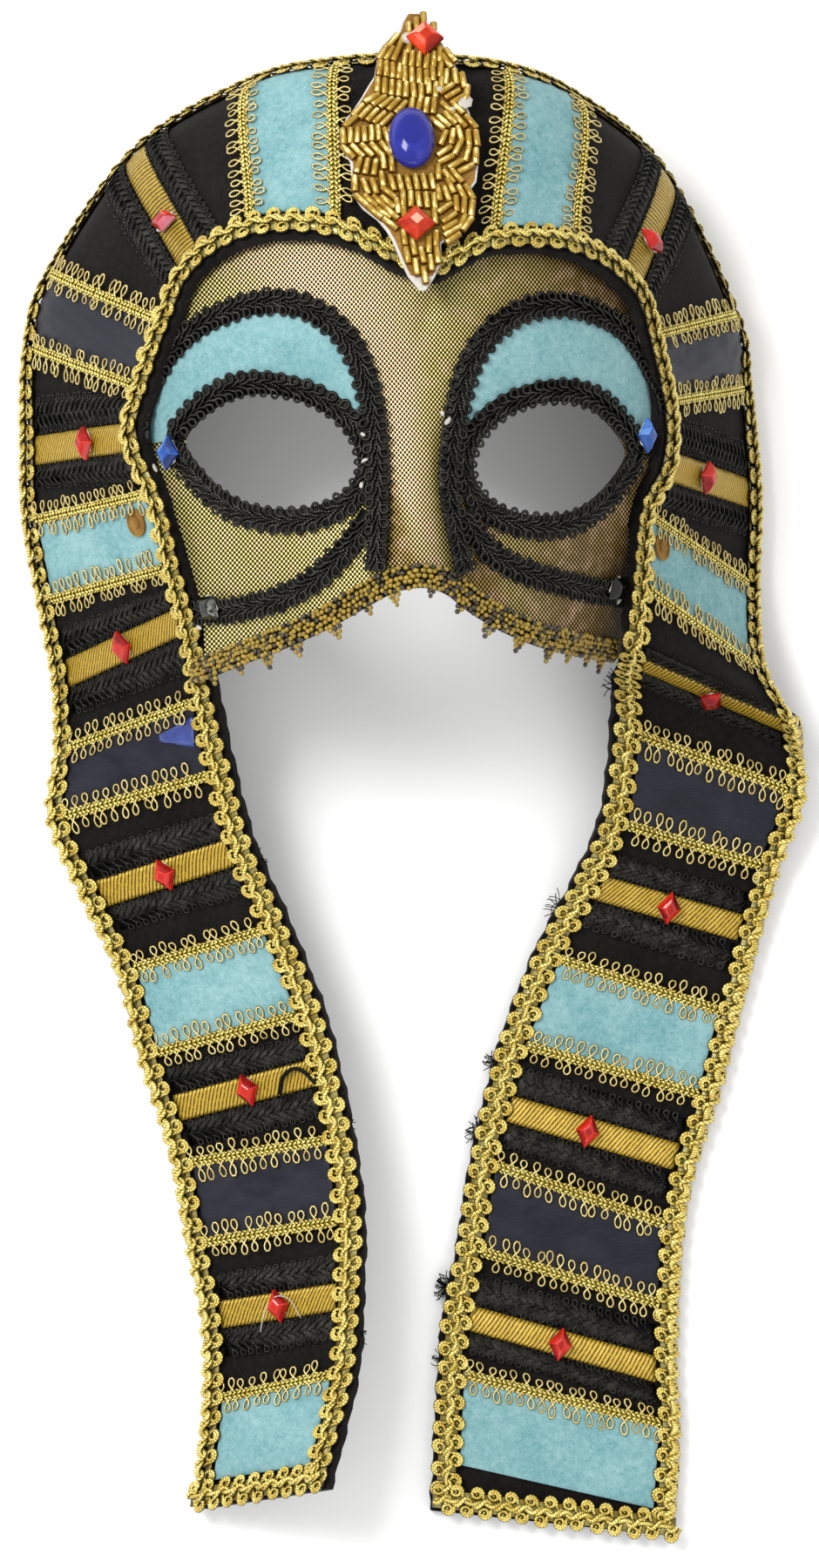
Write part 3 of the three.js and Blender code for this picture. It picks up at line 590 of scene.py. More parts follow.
def scroll_braid(length, seed, unit="coil_pair", pitch=SCROLL_PITCH):
    """A length of gold scroll braid."""
    count = max(round(length / pitch), 1)
    coils = row_of(UNITS[unit], count, pitch)
    made_uneven(coils, size_of(unit) // 2, seed, slide=0.3, stretch=0.06, lean=0.07, rise=0.07)
    points = points_of(coils)
    points[:, 0] *= length / (count * pitch)
    move_points(coils, points)
    parts = [coils, *twisted_pair(length), tape(length, 4.6, 0.1, 0.7)]
    return mark_painted_shading(joined("scroll_braid", parts), 0.6, 2.0, least=0.5)


def black_gimp(length, seed, half_width, unit, pitch):
    """A length of black gimp on its dark backing."""
    count = max(round((length - 1) / pitch), 1)
    leaves = row_of(UNITS[unit], count, pitch)
    made_uneven(leaves, size_of(unit) // 2, seed, slide=0.14, stretch=0.05, lean=0.04, rise=0.04)
    points = points_of(leaves)
    points[:, 0] = 0.75 * pitch + points[:, 0] * (length - 1) / (count * pitch)
    points[:, 0] = np.clip(points[:, 0], 0, length)
    move_points(leaves, points)
    backing = tape(length, half_width * 1.6, 0.02, 0.45)
    return mark_painted_shading(joined("black_gimp", [leaves, backing]), 0.3, 1.3, least=0.6)


def stripe_gimp(length, seed):
    return black_gimp(length, seed, STRIPE_WIDTH / 2, "gimp", GIMP_PITCH)


def eye_gimp(length, seed):
    return black_gimp(length, seed, EYE_GIMP / 2, "eye_gimp", EYE_GIMP_PITCH)


def loop_row(length, seed):
    """The wire loops of a length of cross braid."""
    loops = row_of(UNITS["wire_loops"], max(int(length / LOOP_PITCH), 1), LOOP_PITCH)
    half = size_of("wire_loops") // 2
    made_uneven(loops, half, seed, slide=0.42, stretch=0.14, lean=0.12, rise=0.14)
    return mark_painted_shading(loops, 0.6, 1.6)


def knitted_core(length, seed):
    """The knitted middle of a length of cross braid."""
    stitches = row_of(UNITS["knit_stitches"], int(length / STITCH_PITCH), STITCH_PITCH)
    made_uneven(stitches, size_of("knit_stitches") // 4, seed + 7, slide=0.16, stretch=0.1)
    backing = tape(length, 2.5, 0.1, 0.7)
    return mark_painted_shading(joined("knitted_core", [stitches, backing]), 0.7, 1.5)


# Laying trims down

FINE_STATIONS = np.arange(-LAST - 1.5, LAST + 1.5, 0.02)


def line_lengths(distance_at):
    """The length along a line on the headdress up to each of the fine stations."""
    points = band_points(FINE_STATIONS, distance_at(FINE_STATIONS), 0.0)
    steps = np.linalg.norm(np.diff(points, axis=0), axis=1)
    return np.concatenate([[0], np.cumsum(steps)])


def lay_along(piece, distance_at, lengths, first, base, rolls_over=False):
    """Lays a flat trim along the headdress, on a line at a distance in from the outer seam. One
    that rolls over is bent down round the felt's outer edge."""
    points = points_of(piece)
    reach = points[:, 1].copy()
    height = base + points[:, 2]
    if rolls_over:
        fold_at, radius, taken_up = 0.5, 1.5, 0.72
        run = np.maximum(fold_at - reach, 0) * taken_up
        turn = np.minimum(run / radius, math.pi / 2)
        drop = radius * (1 - np.cos(turn)) + np.maximum(run - radius * math.pi / 2, 0)
        over = reach < fold_at
        bent = fold_at - radius * np.sin(turn) - points[:, 2] * np.sin(turn)
        reach = np.where(over, bent, reach)
        height = np.where(over, base - drop + points[:, 2] * np.cos(turn), height)
    start = np.interp(first, FINE_STATIONS, lengths)
    station = np.interp(start + points[:, 0], lengths, FINE_STATIONS)
    place_in_frame(piece, band_points(station, distance_at(station) + reach, height))


def across_length(station, start, short_of_inner):
    """The length from near the outer seam to short of the inner one."""
    return float(band_width(station)[0]) - start - short_of_inner


def lay_across(piece, length, station, offset, start, short_of_inner, base):
    """Lays a flat trim across the headdress, centred a given way past a station."""
    points = points_of(piece)
    share = points[:, 0] / length
    at = np.full(len(points), float(station))
    place = at.copy()
    for _ in range(3):
        distance = start + share * (band_width(place) - short_of_inner - start)
        place = station_after(at, distance, offset + points[:, 1])
    place_in_frame(piece, band_points(place, distance, base + points[:, 2]))


def mask_line(points, closed=False):
    """A smooth line drawn on the mask: its places, the same in space, and the length up to
    each."""
    if closed:
        line = np.asarray(points, float)
        line = np.vstack([line, line[:1]])
    else:
        line = seam_curve(points, np.linspace(0, 1, 240), straight_ends=False)
    solid = mask_points(line[:, 0], line[:, 1], 0.0)
    steps = np.linalg.norm(np.diff(solid, axis=0), axis=1)
    return line, solid, np.concatenate([[0], np.cumsum(steps)])


def lay_on_mask(piece, line, solid, lengths, base, lift_at=None):
    """Lays a flat trim along a line on the mask, lifted where lift_at says."""
    points = points_of(piece)
    along = unit_rows(np.gradient(solid, axis=0))
    aside = unit_rows(np.cross(mask_up(line[:, 0], line[:, 1]), along))
    place = [np.interp(points[:, 0], lengths, line[:, k]) for k in (0, 1)]
    side = [np.interp(points[:, 0], lengths, aside[:, k]) for k in (0, 1)]
    if lift_at:
        base = base + lift_at(points[:, 0], lengths[-1])
    spot_x = place[0] + side[0] * points[:, 1]
    spot_y = place[1] + side[1] * points[:, 1]
    place_in_frame(piece, mask_points(spot_x, spot_y, base + points[:, 2]))


def eye_line(side, sign, grow, count=24):
    """The line of the trim round an eye, grown or shrunk evenly."""
    turn = np.linspace(0, 2 * math.pi, count, endpoint=False)
    reach = (EYE["half_width"] + grow) * np.cos(turn)
    narrowed = 1 - EYE["corner"] * np.maximum(np.cos(turn), 0) ** 3
    rise = (EYE["half_height"] + grow) * np.sin(turn) * narrowed + EYE["tilt"] * reach
    return np.stack([sign * (EYE[f"{side}_x"] + reach), EYE["y"] + rise], axis=1)


# Finishes

def paint(red, green, blue):
    """A colour given as seen, from 0 to 255, made linear."""
    linear = []
    for value in (red, green, blue):
        share = value / 255
        linear.append(share / 12.92 if share <= 0.04045 else ((share + 0.055) / 1.055) ** 2.4)
    return (*linear, 1.0)


class Bench:
    """A node tree, with short ways to add and join nodes."""

    def __init__(self, tree):
        self.tree = tree

    def node(self, kind, **settings):
        made = self.tree.nodes.new(kind)
        for key, value in settings.items():
            setattr(made, key, value)
        return made

    def join(self, start, end):
        self.tree.links.new(start, end)

    def fill(self, socket, value):
        if isinstance(value, bpy.types.NodeSocket):
            self.join(value, socket)
        else:
            socket.default_value = value

    def math(self, operation, first, second=0.0):
        made = self.node("ShaderNodeMath", operation=operation)
        self.fill(made.inputs[0], first)
        self.fill(made.inputs[1], second)
        return made.outputs[0]

    def plus(self, first, second):
        return self.math("ADD", first, second)

    def times(self, first, second):
        return self.math("MULTIPLY", first, second)

    def parts(self, vector):
        made = self.node("ShaderNodeSeparateXYZ")
        self.join(vector, made.inputs[0])
        return made.outputs[0], made.outputs[1]

    def noise(self, vector, scale, detail=2.0, distortion=0.0):
        made = self.node("ShaderNodeTexNoise")
        self.join(vector, made.inputs["Vector"])
        self.fill(made.inputs["Scale"], scale)
        made.inputs["Detail"].default_value = detail
        made.inputs["Distortion"].default_value = distortion
        return made.outputs["Fac"]

    def spread(self, value, low, high, start=0.0, end=1.0):
        """Spreads the values from low to high over the range from start to end."""
        made = self.node("ShaderNodeMapRange", clamp=True)
        self.join(value, made.inputs["Value"])
        labels = ("From Min", "From Max", "To Min", "To Max")
        for label, number in zip(labels, (low, high, start, end)):
            made.inputs[label].default_value = number
        return made.outputs["Result"]

    def mix(self, share, first, second):
        made = self.node("ShaderNodeMix", data_type="RGBA")
        self.fill(made.inputs[0], share)
        self.fill(made.inputs[6], first)
        self.fill(made.inputs[7], second)
        return made.outputs[2]


def new_group(name, inputs, outputs):
    """An empty node group. Inputs and outputs are given by name, with v for a vector, f for a
    number and c for a colour."""
    group = bpy.data.node_groups.new(name, "ShaderNodeTree")
    kinds = {"v": "NodeSocketVector", "f": "NodeSocketFloat", "c": "NodeSocketColor"}
    for way, sockets in (("INPUT", inputs), ("OUTPUT", outputs)):
        for label, kind in sockets.items():
            group.interface.new_socket(name=label, in_out=way, socket_type=kinds[kind])
    bench = Bench(group)
    return group, bench, bench.node("NodeGroupInput").outputs, bench.node("NodeGroupOutput").inputs


def felt_nap_group():
    """Matted fibres: a fine nap, loose clumps and a slow change of shade."""
    group, b, given, out = new_group(
        "felt_nap",
        {"Vector": "v", "Light": "c", "Dark": "c", "Lint": "c", "Lint share": "f"},
        {"Color": "c", "Height": "f"},
    )
    fibre = b.noise(given["Vector"], 2600.0, 4.0, 1.4)
    clump = b.noise(given["Vector"], 620.0, 3.0, 0.6)
    slow = b.noise(given["Vector"], 70.0, 2.0)
    shade = b.plus(b.plus(b.times(fibre, 0.5), b.times(clump, 0.35)), b.times(slow, 0.3))
    base = b.mix(b.spread(shade, 0.42, 0.74), given["Dark"], given["Light"])
    lint = b.spread(b.noise(given["Vector"], 900.0, 5.0, 3.0), 0.66, 0.72)
    b.join(b.mix(b.times(lint, given["Lint share"]), base, given["Lint"]), out["Color"])
    b.join(b.plus(b.times(fibre, 0.6), clump), out["Height"])
    return group


def thread_wrap_group():
    """Fine thread wound round a cord, slanting across it, with random flecks and patches of tone.
    Painted highlight makes it brightest on the crowns of the cords and at its brightest flecks,
    and painted shade makes it dark in the hollows between them."""
    group, b, given, out = new_group(
        "thread_wrap",
        {
            "Map": "v", "Vector": "v", "Depth": "f",
            "Bright": "c", "Middle": "c", "Deep": "c", "Hollow": "c",
        },
        {"Color": "c", "Height": "f", "Glint": "f", "Lit": "f"},
    )
    turns = b.plus(*b.parts(given["Map"]))
    groove = b.spread(b.math("SINE", b.times(turns, 2 * math.pi)), -1.0, 0.6)
    fleck = b.noise(given["Vector"], 2300.0, 3.0, 0.8)
    patch = b.noise(given["Vector"], 380.0, 2.0)
    shade = b.plus(b.plus(b.times(groove, 0.4), b.times(fleck, 0.5)), b.times(patch, 0.55))
    low = b.mix(b.spread(shade, 0.4, 0.75), given["Deep"], given["Middle"])
    # The brightest flecks take the brightest colour: painted glints
    thread = b.mix(b.spread(shade, 0.78, 1.05), low, given["Bright"])
    # Painted highlight along the crowns of the cords, where the marked depth is high
    crown = b.times(b.spread(given["Depth"], 0.78, 0.98), b.spread(patch, 0.36, 0.6, 0.3, 1.0))
    crown = b.times(crown, b.spread(groove, 0.0, 0.7, 0.35, 1.0))
    thread = b.mix(crown, thread, given["Bright"])
    # Painted shade: the hollows between the cords, where the marked depth is low, fall to the
    # hollow colour
    lit = b.spread(given["Depth"], 0.2, 0.7)
    b.join(b.mix(lit, given["Hollow"], thread), out["Color"])
    b.join(lit, out["Lit"])
    b.join(b.plus(groove, b.times(fleck, 0.6)), out["Height"])
    b.join(b.spread(fleck, 0.35, 0.7), out["Glint"])
    return group


def lame_group():
    """Lamé cloth: a slanting mesh of black threads over flat gold ones. The gold is pale and
    pinkish on the brow and the nose, a painted highlight, and greenish on one cheek and browner
    on the other, the browner side being painted shade. Places and the mesh's pitch are in metres."""
    group, b, given, out = new_group(
        "lame_weave",
        {
            "Vector": "v", "Pitch": "f", "Green gold": "c", "Brown gold": "c", "Cream": "c",
            "Glint": "c", "Black": "c",
        },
        {"Color": "c", "Height": "f", "Gold mask": "f"},
    )
    x, y = b.parts(given["Vector"])
    rate = b.math("DIVIDE", 2 * math.pi, given["Pitch"])
    along = b.plus(x, b.times(y, 0.07))
    up = b.math("SUBTRACT", b.times(y, 0.82), b.times(x, 0.07))
    warp = b.math("COSINE", b.times(along, rate))
    weft = b.math("COSINE", b.times(up, rate))
    dots = b.times(warp, weft)
    gold = b.spread(dots, -0.14, 0.26)

    # The cheeks, browner towards the right as painted shade, with painted brown shade on both sides
    # of the nose
    cheek = b.mix(b.spread(x, -0.014, 0.034), given["Green gold"], given["Brown gold"])
    ridge = b.math("SUBTRACT", 0.012, b.times(y, 0.258))
    aside = b.math("SUBTRACT", x, ridge)
    off_ridge = b.math("ABSOLUTE", aside)
    near = b.spread(off_ridge, 0.0032, 0.0066, 0.0, 0.8)
    far = b.spread(off_ridge, 0.013, 0.018, 1.0, 0.0)
    nose_flank_shade = b.times(b.times(near, far), b.spread(y, 0.074, 0.088, 1.0, 0.0))
    cheek = b.mix(nose_flank_shade, cheek, given["Brown gold"])

    # Painted highlight: the pale streak down the brow and the nose, and pale flecks all over
    reach = b.math("MAXIMUM", b.math("SUBTRACT", b.times(y, 0.2), 0.011), 0.0022)
    share = b.math("DIVIDE", aside, reach)
    middle = b.times(b.spread(share, -2.8, -1.3), b.spread(share, 0.2, 1.1, 1.0, 0.0))
    patch = b.noise(given["Vector"], 45.0, 2.0, 0.3)
    streak = b.noise(given["Vector"], 240.0, 3.0, 0.4)
    fine = b.noise(given["Vector"], 3000.0, 2.0)
    flecks = b.spread(b.plus(streak, b.times(fine, 0.4)), 0.66, 1.0, 0.0, 0.8)
    sheen = b.plus(b.times(middle, b.spread(patch, 0.35, 0.6, 0.55, 1.0)), flecks)
    cloth = b.mix(b.math("MINIMUM", sheen, 1.0), cheek, given["Cream"])

    # Painted glints at the centres of the gold dots, fading towards the right and beside the nose
    # as painted shade
    bright = b.times(b.spread(dots, 0.2, 0.7, 0.0, 1.0), b.spread(x, -0.012, 0.03, 1.0, 0.2))
    bright = b.times(bright, b.math("SUBTRACT", 1.0, nose_flank_shade))
    cloth = b.mix(bright, cloth, given["Glint"])
    b.join(b.mix(gold, given["Black"], cloth), out["Color"])
    b.join(dots, out["Height"])
    b.join(gold, out["Gold mask"])
    return group


def ribbon_group():
    """Woven gold ribbon with raised ribs and darker threads between them. Its map is in
    millimetres."""
    group, b, given, out = new_group(
        "ribbon_ribs",
        {"Map": "v", "Pitch": "f", "Slant": "f", "Gold": "c", "Pale": "c", "Line": "c"},
        {"Color": "c", "Height": "f", "Line mask": "f"},
    )
    x, y = b.parts(given["Map"])
    run = b.plus(x, b.times(y, given["Slant"]))
    run = b.plus(run, b.times(b.noise(given["Map"], 0.35, 2.0), 0.5))
    wave = b.math("SINE", b.times(run, b.math("DIVIDE", 2 * math.pi, given["Pitch"])))
    broken = b.spread(b.noise(given["Map"], 0.9, 3.0, 0.5), 0.3, 0.5, 0.55, 1.0)
    line = b.times(b.spread(wave, -0.15, 0.75), broken)
    fine = b.math("SINE", b.times(run, 2 * math.pi / 0.32))
    shade = b.plus(b.times(fine, 0.15), b.noise(given["Map"], 1.6, 4.0, 1.0))
    cloth = b.mix(b.spread(shade, 0.35, 0.75), given["Gold"], given["Pale"])
    b.join(b.mix(line, cloth, given["Line"]), out["Color"])
    b.join(b.math("SUBTRACT", b.times(fine, 0.3), line), out["Height"])
    b.join(line, out["Line mask"])
    return group


def satin_group():
    """Smooth satin: long fine threads, soft creases and a faint change of shade."""
    group, b, given, out = new_group(
        "satin_threads",
        {"Vector": "v", "Light": "c", "Dark": "c"},
        {"Color": "c", "Height": "f", "Crease": "f"},
    )
    stretch = b.node("ShaderNodeVectorMath", operation="MULTIPLY")
    b.join(given["Vector"], stretch.inputs[0])
    stretch.inputs[1].default_value = (420.0, 3600.0, 420.0)
    thread = b.noise(stretch.outputs[0], 1.0, 2.0)
    crease = b.noise(given["Vector"], 85.0, 3.0, 1.2)
    shade = b.plus(b.times(thread, 0.5), b.times(crease, 0.6))
    b.join(b.mix(b.spread(shade, 0.4, 0.75), given["Dark"], given["Light"]), out["Color"])
    b.join(b.plus(b.times(thread, 0.15), crease), out["Height"])
    b.join(b.spread(crease, 0.4, 0.7), out["Crease"])
    return group


def flaw_group():
    """Small flaws of moulded or blown pieces: cloudy patches and specks. A cut stone's facets
    carry painted light: they range from deep through light to a painted flash of reflection."""
    group, b, given, out = new_group(
        "small_flaws",
        {"Vector": "v", "Facet": "f", "Deep": "c", "Light": "c", "Flash": "c", "Size": "f"},
        {"Color": "c", "Roughness": "f", "Height": "f"},
    )
    cloud = b.noise(given["Vector"], given["Size"], 2.0, 0.6)
    speck = b.spread(b.noise(given["Vector"], 1800.0, 2.0), 0.68, 0.78)
    tone = b.plus(b.spread(cloud, 0.35, 0.68, -0.25, 0.25), given["Facet"])
    body = b.mix(b.spread(tone, 0.0, 1.0), given["Deep"], given["Light"])
    b.join(b.mix(b.spread(tone, 1.05, 1.9), body, given["Flash"]), out["Color"])
    rough = b.plus(b.spread(cloud, 0.3, 0.7, 0.04, 0.14), b.times(speck, 0.3))
    b.join(rough, out["Roughness"])
    b.join(b.plus(cloud, speck), out["Height"])
    return group


def tube_bead_group():
    """Lined glass tube: a painted highlight as a pale streak along its crown, a gold body, and
    brown flanks in painted shade.
    """
    group, b, given, out = new_group(
        "tube_bead",
        {"Vector": "v", "Depth": "f", "Streak": "c", "Body": "c", "Flank": "c"},
        {"Color": "c", "Roughness": "f", "Height": "f"},
    )
    patch = b.noise(given["Vector"], 330.0, 2.0, 0.5)
    fleck = b.noise(given["Vector"], 1700.0, 2.0)
    depth = b.plus(given["Depth"], b.spread(patch, 0.3, 0.7, -0.22, 0.16))
    body = b.mix(b.spread(depth, 0.3, 0.75), given["Flank"], given["Body"])
    b.join(b.mix(b.spread(depth, 0.78, 0.98), body, given["Streak"]), out["Color"])
    b.join(b.spread(fleck, 0.3, 0.7, 0.1, 0.3), out["Roughness"])
    b.join(fleck, out["Height"])
    return group


GROUPS = {
    "felt": felt_nap_group(),
    "wrap": thread_wrap_group(),
    "lame": lame_group(),
    "ribbon": ribbon_group(),
    "satin": satin_group(),
    "flaws": flaw_group(),
    "tube": tube_bead_group(),
}


def new_finish(name, group, given, feeds, bump, plain):
    """A material from one of the groups, whose colour it takes. The feeds join more of its
    outputs to the shader, each spread over a range of its own. The bump has a strength and a
    height in millimetres. The plain values are set on the shader itself."""
    finish = bpy.data.materials.new(name)
    finish.use_nodes = True
    b = Bench(finish.node_tree)
    shader = finish.node_tree.nodes["Principled BSDF"]
    pattern = b.node("ShaderNodeGroup", node_tree=GROUPS[group])
    spot = b.node("ShaderNodeTexCoord")
    for label, output in (("Vector", "Object"), ("Map", "UV")):
        if label in pattern.inputs:
            b.join(spot.outputs[output], pattern.inputs[label])
    # The marked depth of trims drives their painted shade and highlight, and the facet tone of cut
    # stones drives their painted light
    for label, attribute in (("Depth", "depth"), ("Facet", "facet")):
        if label in pattern.inputs and label not in given:
            mark = b.node("ShaderNodeAttribute", attribute_name=attribute)
            b.join(mark.outputs["Fac"], pattern.inputs[label])
    for label, value in given.items():
        is_colour = isinstance(value, tuple)
        pattern.inputs[label].default_value = paint(*value) if is_colour else value
    b.join(pattern.outputs["Color"], shader.inputs["Base Color"])
    for label, socket, low, high in feeds:
        b.join(b.spread(pattern.outputs[label], 0.0, 1.0, low, high), shader.inputs[socket])
    lift = b.node("ShaderNodeBump")
    lift.inputs["Strength"].default_value = bump[0]
    lift.inputs["Distance"].default_value = bump[1] * MM
    b.join(pattern.outputs["Height"], lift.inputs["Height"])
    b.join(lift.outputs["Normal"], shader.inputs["Normal"])
    for label, value in plain.items():
        shader.inputs[label].default_value = value
    return finish


STONE_ROUGHNESS = [("Roughness", "Roughness", 0.05, 1.0)]
BEAD_ROUGHNESS = [("Roughness", "Roughness", 0.6, 1.4)]
RIBBON_SHINE = [("Line mask", "Metallic", 0.45, 0.1)]


def coated(weight, roughness, specular):
    return {"Coat Weight": weight, "Coat Roughness": roughness, "Specular IOR Level": specular}


FINISH_ROWS = {
    "black_felt": (
        "felt",
        {"Light": (30, 27, 24), "Dark": (9, 8, 7), "Lint": (104, 96, 86), "Lint share": 0.3},
        [], (0.7, 0.25),
        {
            "Roughness": 0.95, "Sheen Weight": 0.04, "Sheen Roughness": 0.5,
            "Specular IOR Level": 0.1,
        },
    ),
    "turquoise_felt": (
        "felt",
        {
            "Light": (148, 184, 186), "Dark": (90, 142, 147), "Lint": (186, 206, 206),
            "Lint share": 0.6,
        },
        [], (0.6, 0.2),
        {
            "Roughness": 0.95, "Sheen Weight": 0.1, "Sheen Roughness": 0.5,
            "Specular IOR Level": 0.15,
        },
    ),
    "white_felt": (
        "felt",
        {
            "Light": (228, 224, 216), "Dark": (176, 170, 160), "Lint": (240, 238, 232),
            "Lint share": 0.5,
        },
        [], (0.6, 0.2), {"Roughness": 0.95, "Specular IOR Level": 0.2},
    ),
    "navy_satin": (
        "satin", {"Light": (34, 35, 46), "Dark": (18, 20, 30)},
        [("Crease", "Roughness", 0.42, 0.6)], (0.2, 0.4),
        {"Sheen Weight": 0.02, "Sheen Roughness": 0.35, "Specular IOR Level": 0.25},
    ),
    # Bright blue satin for the wedge that paints the sheen on the end of a navy panel
    "blue_satin_sheen": (
        "satin", {"Light": (60, 84, 167), "Dark": (25, 38, 101)},
        [("Crease", "Roughness", 0.25, 0.4)], (0.3, 0.4), {"Specular IOR Level": 0.7},
    ),
    # In the wrap finishes below, the brightest colour is a painted highlight and the hollow colour
    # a painted shade
    "gold_braid": (
        "wrap",
        {
            "Bright": (255, 246, 160), "Middle": (208, 176, 60), "Deep": (128, 96, 22),
            "Hollow": (34, 25, 6),
        },
        [("Glint", "Roughness", 0.22, 0.42), ("Lit", "Metallic", 0.15, 0.55)], (0.5, 0.1),
        {"Specular IOR Level": 0.5},
    ),
    "gold_knit": (
        "wrap",
        {
            "Bright": (255, 246, 150), "Middle": (224, 200, 82), "Deep": (146, 116, 34),
            "Hollow": (66, 46, 10),
        },
        [("Glint", "Roughness", 0.3, 0.5), ("Lit", "Metallic", 0.1, 0.45)], (0.8, 0.12),
        {"Specular IOR Level": 0.5},
    ),
    "gold_wire": (
        "wrap",
        {
            "Bright": (255, 246, 182), "Middle": (228, 206, 116), "Deep": (156, 120, 42),
            "Hollow": (96, 70, 22),
        },
        [("Glint", "Roughness", 0.25, 0.45), ("Lit", "Metallic", 0.1, 0.4)], (0.5, 0.06),
        {"Specular IOR Level": 0.6},
    ),
    "black_gimp": (
        "wrap",
        {"Bright": (86, 84, 76), "Middle": (7, 7, 7), "Deep": (3, 3, 3), "Hollow": (1, 1, 1)},
        [("Glint", "Roughness", 0.36, 0.52)], (0.4, 0.06), {"Specular IOR Level": 0.14},
    ),
    # In the lamé, the cream is a painted highlight, the glint is painted glints, and the brown gold
    # is painted shade
    "lame": (
        "lame",
        {
            "Pitch": 0.00102, "Green gold": (204, 184, 90), "Brown gold": (134, 100, 36),
            "Cream": (242, 195, 160), "Glint": (255, 250, 176), "Black": (10, 7, 2),
        },
        [("Gold mask", "Metallic", 0.1, 0.5)], (0.6, 0.1),
        {"Roughness": 0.45, "Specular IOR Level": 0.12},
    ),
    "crown_ribbon": (
        "ribbon",
        {
            "Pitch": 1.3, "Slant": 0.0, "Gold": (180, 144, 28), "Pale": (226, 194, 72),
            "Line": (58, 38, 4),
        },
        RIBBON_SHINE, (0.9, 0.3), {"Roughness": 0.4},
    ),
    "lappet_ribbon": (
        "ribbon",
        {
            "Pitch": 1.05, "Slant": -0.5, "Gold": (186, 150, 30), "Pale": (216, 184, 62),
            "Line": (62, 36, 8),
        },
        RIBBON_SHINE, (0.5, 0.12), {"Roughness": 0.38},
    ),
    # The stones' facet tones and flash colours below are painted light and reflection
    "red_stone": (
        "flaws",
        {"Deep": (112, 8, 14), "Light": (206, 42, 26), "Flash": (184, 108, 124), "Size": 260.0},
        STONE_ROUGHNESS, (0.1, 0.1), coated(0.15, 0.08, 0.3),
    ),
    "ornament_stone": (
        "flaws",
        {"Deep": (122, 6, 12), "Light": (212, 62, 24), "Flash": (226, 160, 136), "Size": 220.0},
        STONE_ROUGHNESS, (0.1, 0.1), coated(0.08, 0.08, 0.2),
    ),
    "blue_stone": (
        "flaws",
        {"Deep": (8, 30, 88), "Light": (24, 84, 170), "Flash": (124, 168, 232), "Size": 300.0},
        STONE_ROUGHNESS, (0.1, 0.1), coated(0.4, 0.08, 0.4),
    ),
    "cabochon": (
        "flaws",
        {
            "Deep": (18, 22, 112), "Light": (44, 52, 158), "Flash": (96, 100, 200), "Size": 150.0,
            "Facet": 0.5,
        },
        STONE_ROUGHNESS, (0.03, 0.1), coated(0.12, 0.05, 0.3),
    ),
    "clear_stone": (
        "flaws",
        {"Deep": (4, 4, 4), "Light": (20, 21, 18), "Flash": (206, 214, 196), "Size": 420.0},
        STONE_ROUGHNESS, (0.1, 0.1), coated(0.2, 0.06, 0.35),
    ),
    "bugle_bead": (
        "tube", {"Streak": (252, 244, 176), "Body": (178, 142, 44), "Flank": (116, 74, 18)},
        [("Roughness", "Roughness", 0.0, 1.0)], (0.1, 0.08),
        {"Metallic": 0.3, **coated(0.06, 0.1, 0.4)},
    ),
    "bead_ground": (
        "felt",
        {
            "Light": (168, 126, 56), "Dark": (106, 72, 26), "Lint": (206, 172, 104),
            "Lint share": 0.6,
        },
        [], (0.6, 0.2), {"Roughness": 0.9, "Specular IOR Level": 0.2},
    ),
    "seed_bead_gold": (
        "flaws",
        {
            "Deep": (92, 68, 8), "Light": (180, 150, 34), "Flash": (250, 240, 150), "Size": 700.0,
            "Facet": 0.6,
        },
        BEAD_ROUGHNESS, (0.15, 0.1), {"Metallic": 0.3, "Coat Weight": 0.8, "Coat Roughness": 0.08},
    ),
    "seed_bead_dark": (
        "flaws",
        {
            "Deep": (14, 11, 6), "Light": (84, 66, 16), "Flash": (150, 120, 40), "Size": 700.0,
            "Facet": 0.35,
        },
        BEAD_ROUGHNESS, (0.15, 0.1), {"Metallic": 0.2, "Coat Weight": 0.8, "Coat Roughness": 0.08},
    ),
    "brass": (
        "flaws",
        {
            "Deep": (128, 94, 44), "Light": (190, 152, 84), "Flash": (230, 200, 140), "Size": 200.0,
            "Facet": 0.5,
        },
        [("Roughness", "Roughness", 1.2, 2.4)], (0.1, 0.1), {"Metallic": 0.8},
    ),
    "glue": (
        "flaws",
        {
            "Deep": (206, 200, 188), "Light": (240, 236, 228), "Flash": (250, 250, 246),
            "Size": 500.0, "Facet": 0.5,
        },
        [("Roughness", "Roughness", 1.0, 2.0)], (0.1, 0.1),
        {"Transmission Weight": 0.4, "Coat Weight": 0.5},
    ),
}
FINISHES = {name: new_finish(name, *row) for name, row in FINISH_ROWS.items()}


# Cloth and solid pieces of the headdress

def draped_block(columns, rows, place, round_edge=0.0, map_size=None):
    """A thick sheet. Its points are moved by place(u, v, top), with u and v from 0 to 1 and top
    true for its upper face."""
    bpy.ops.mesh.primitive_grid_add(x_subdivisions=columns, y_subdivisions=rows, size=1)
    piece = bpy.context.object
    raise_block(piece, 1)
    flat = points_of(piece)
    u, v, top = flat[:, 0] + 0.5, flat[:, 1] + 0.5, flat[:, 2] > 0.5
    if map_size:
        corners = np.empty(len(piece.data.loops), int)
        piece.data.loops.foreach_get("vertex_index", corners)
        set_map(piece, np.stack([u[corners] * map_size[0], v[corners] * map_size[1]], axis=1))
    place_in_frame(piece, place(u, v, top))
    face_out(piece)
    return bevelled(piece, round_edge * MM, 50) if round_edge else piece


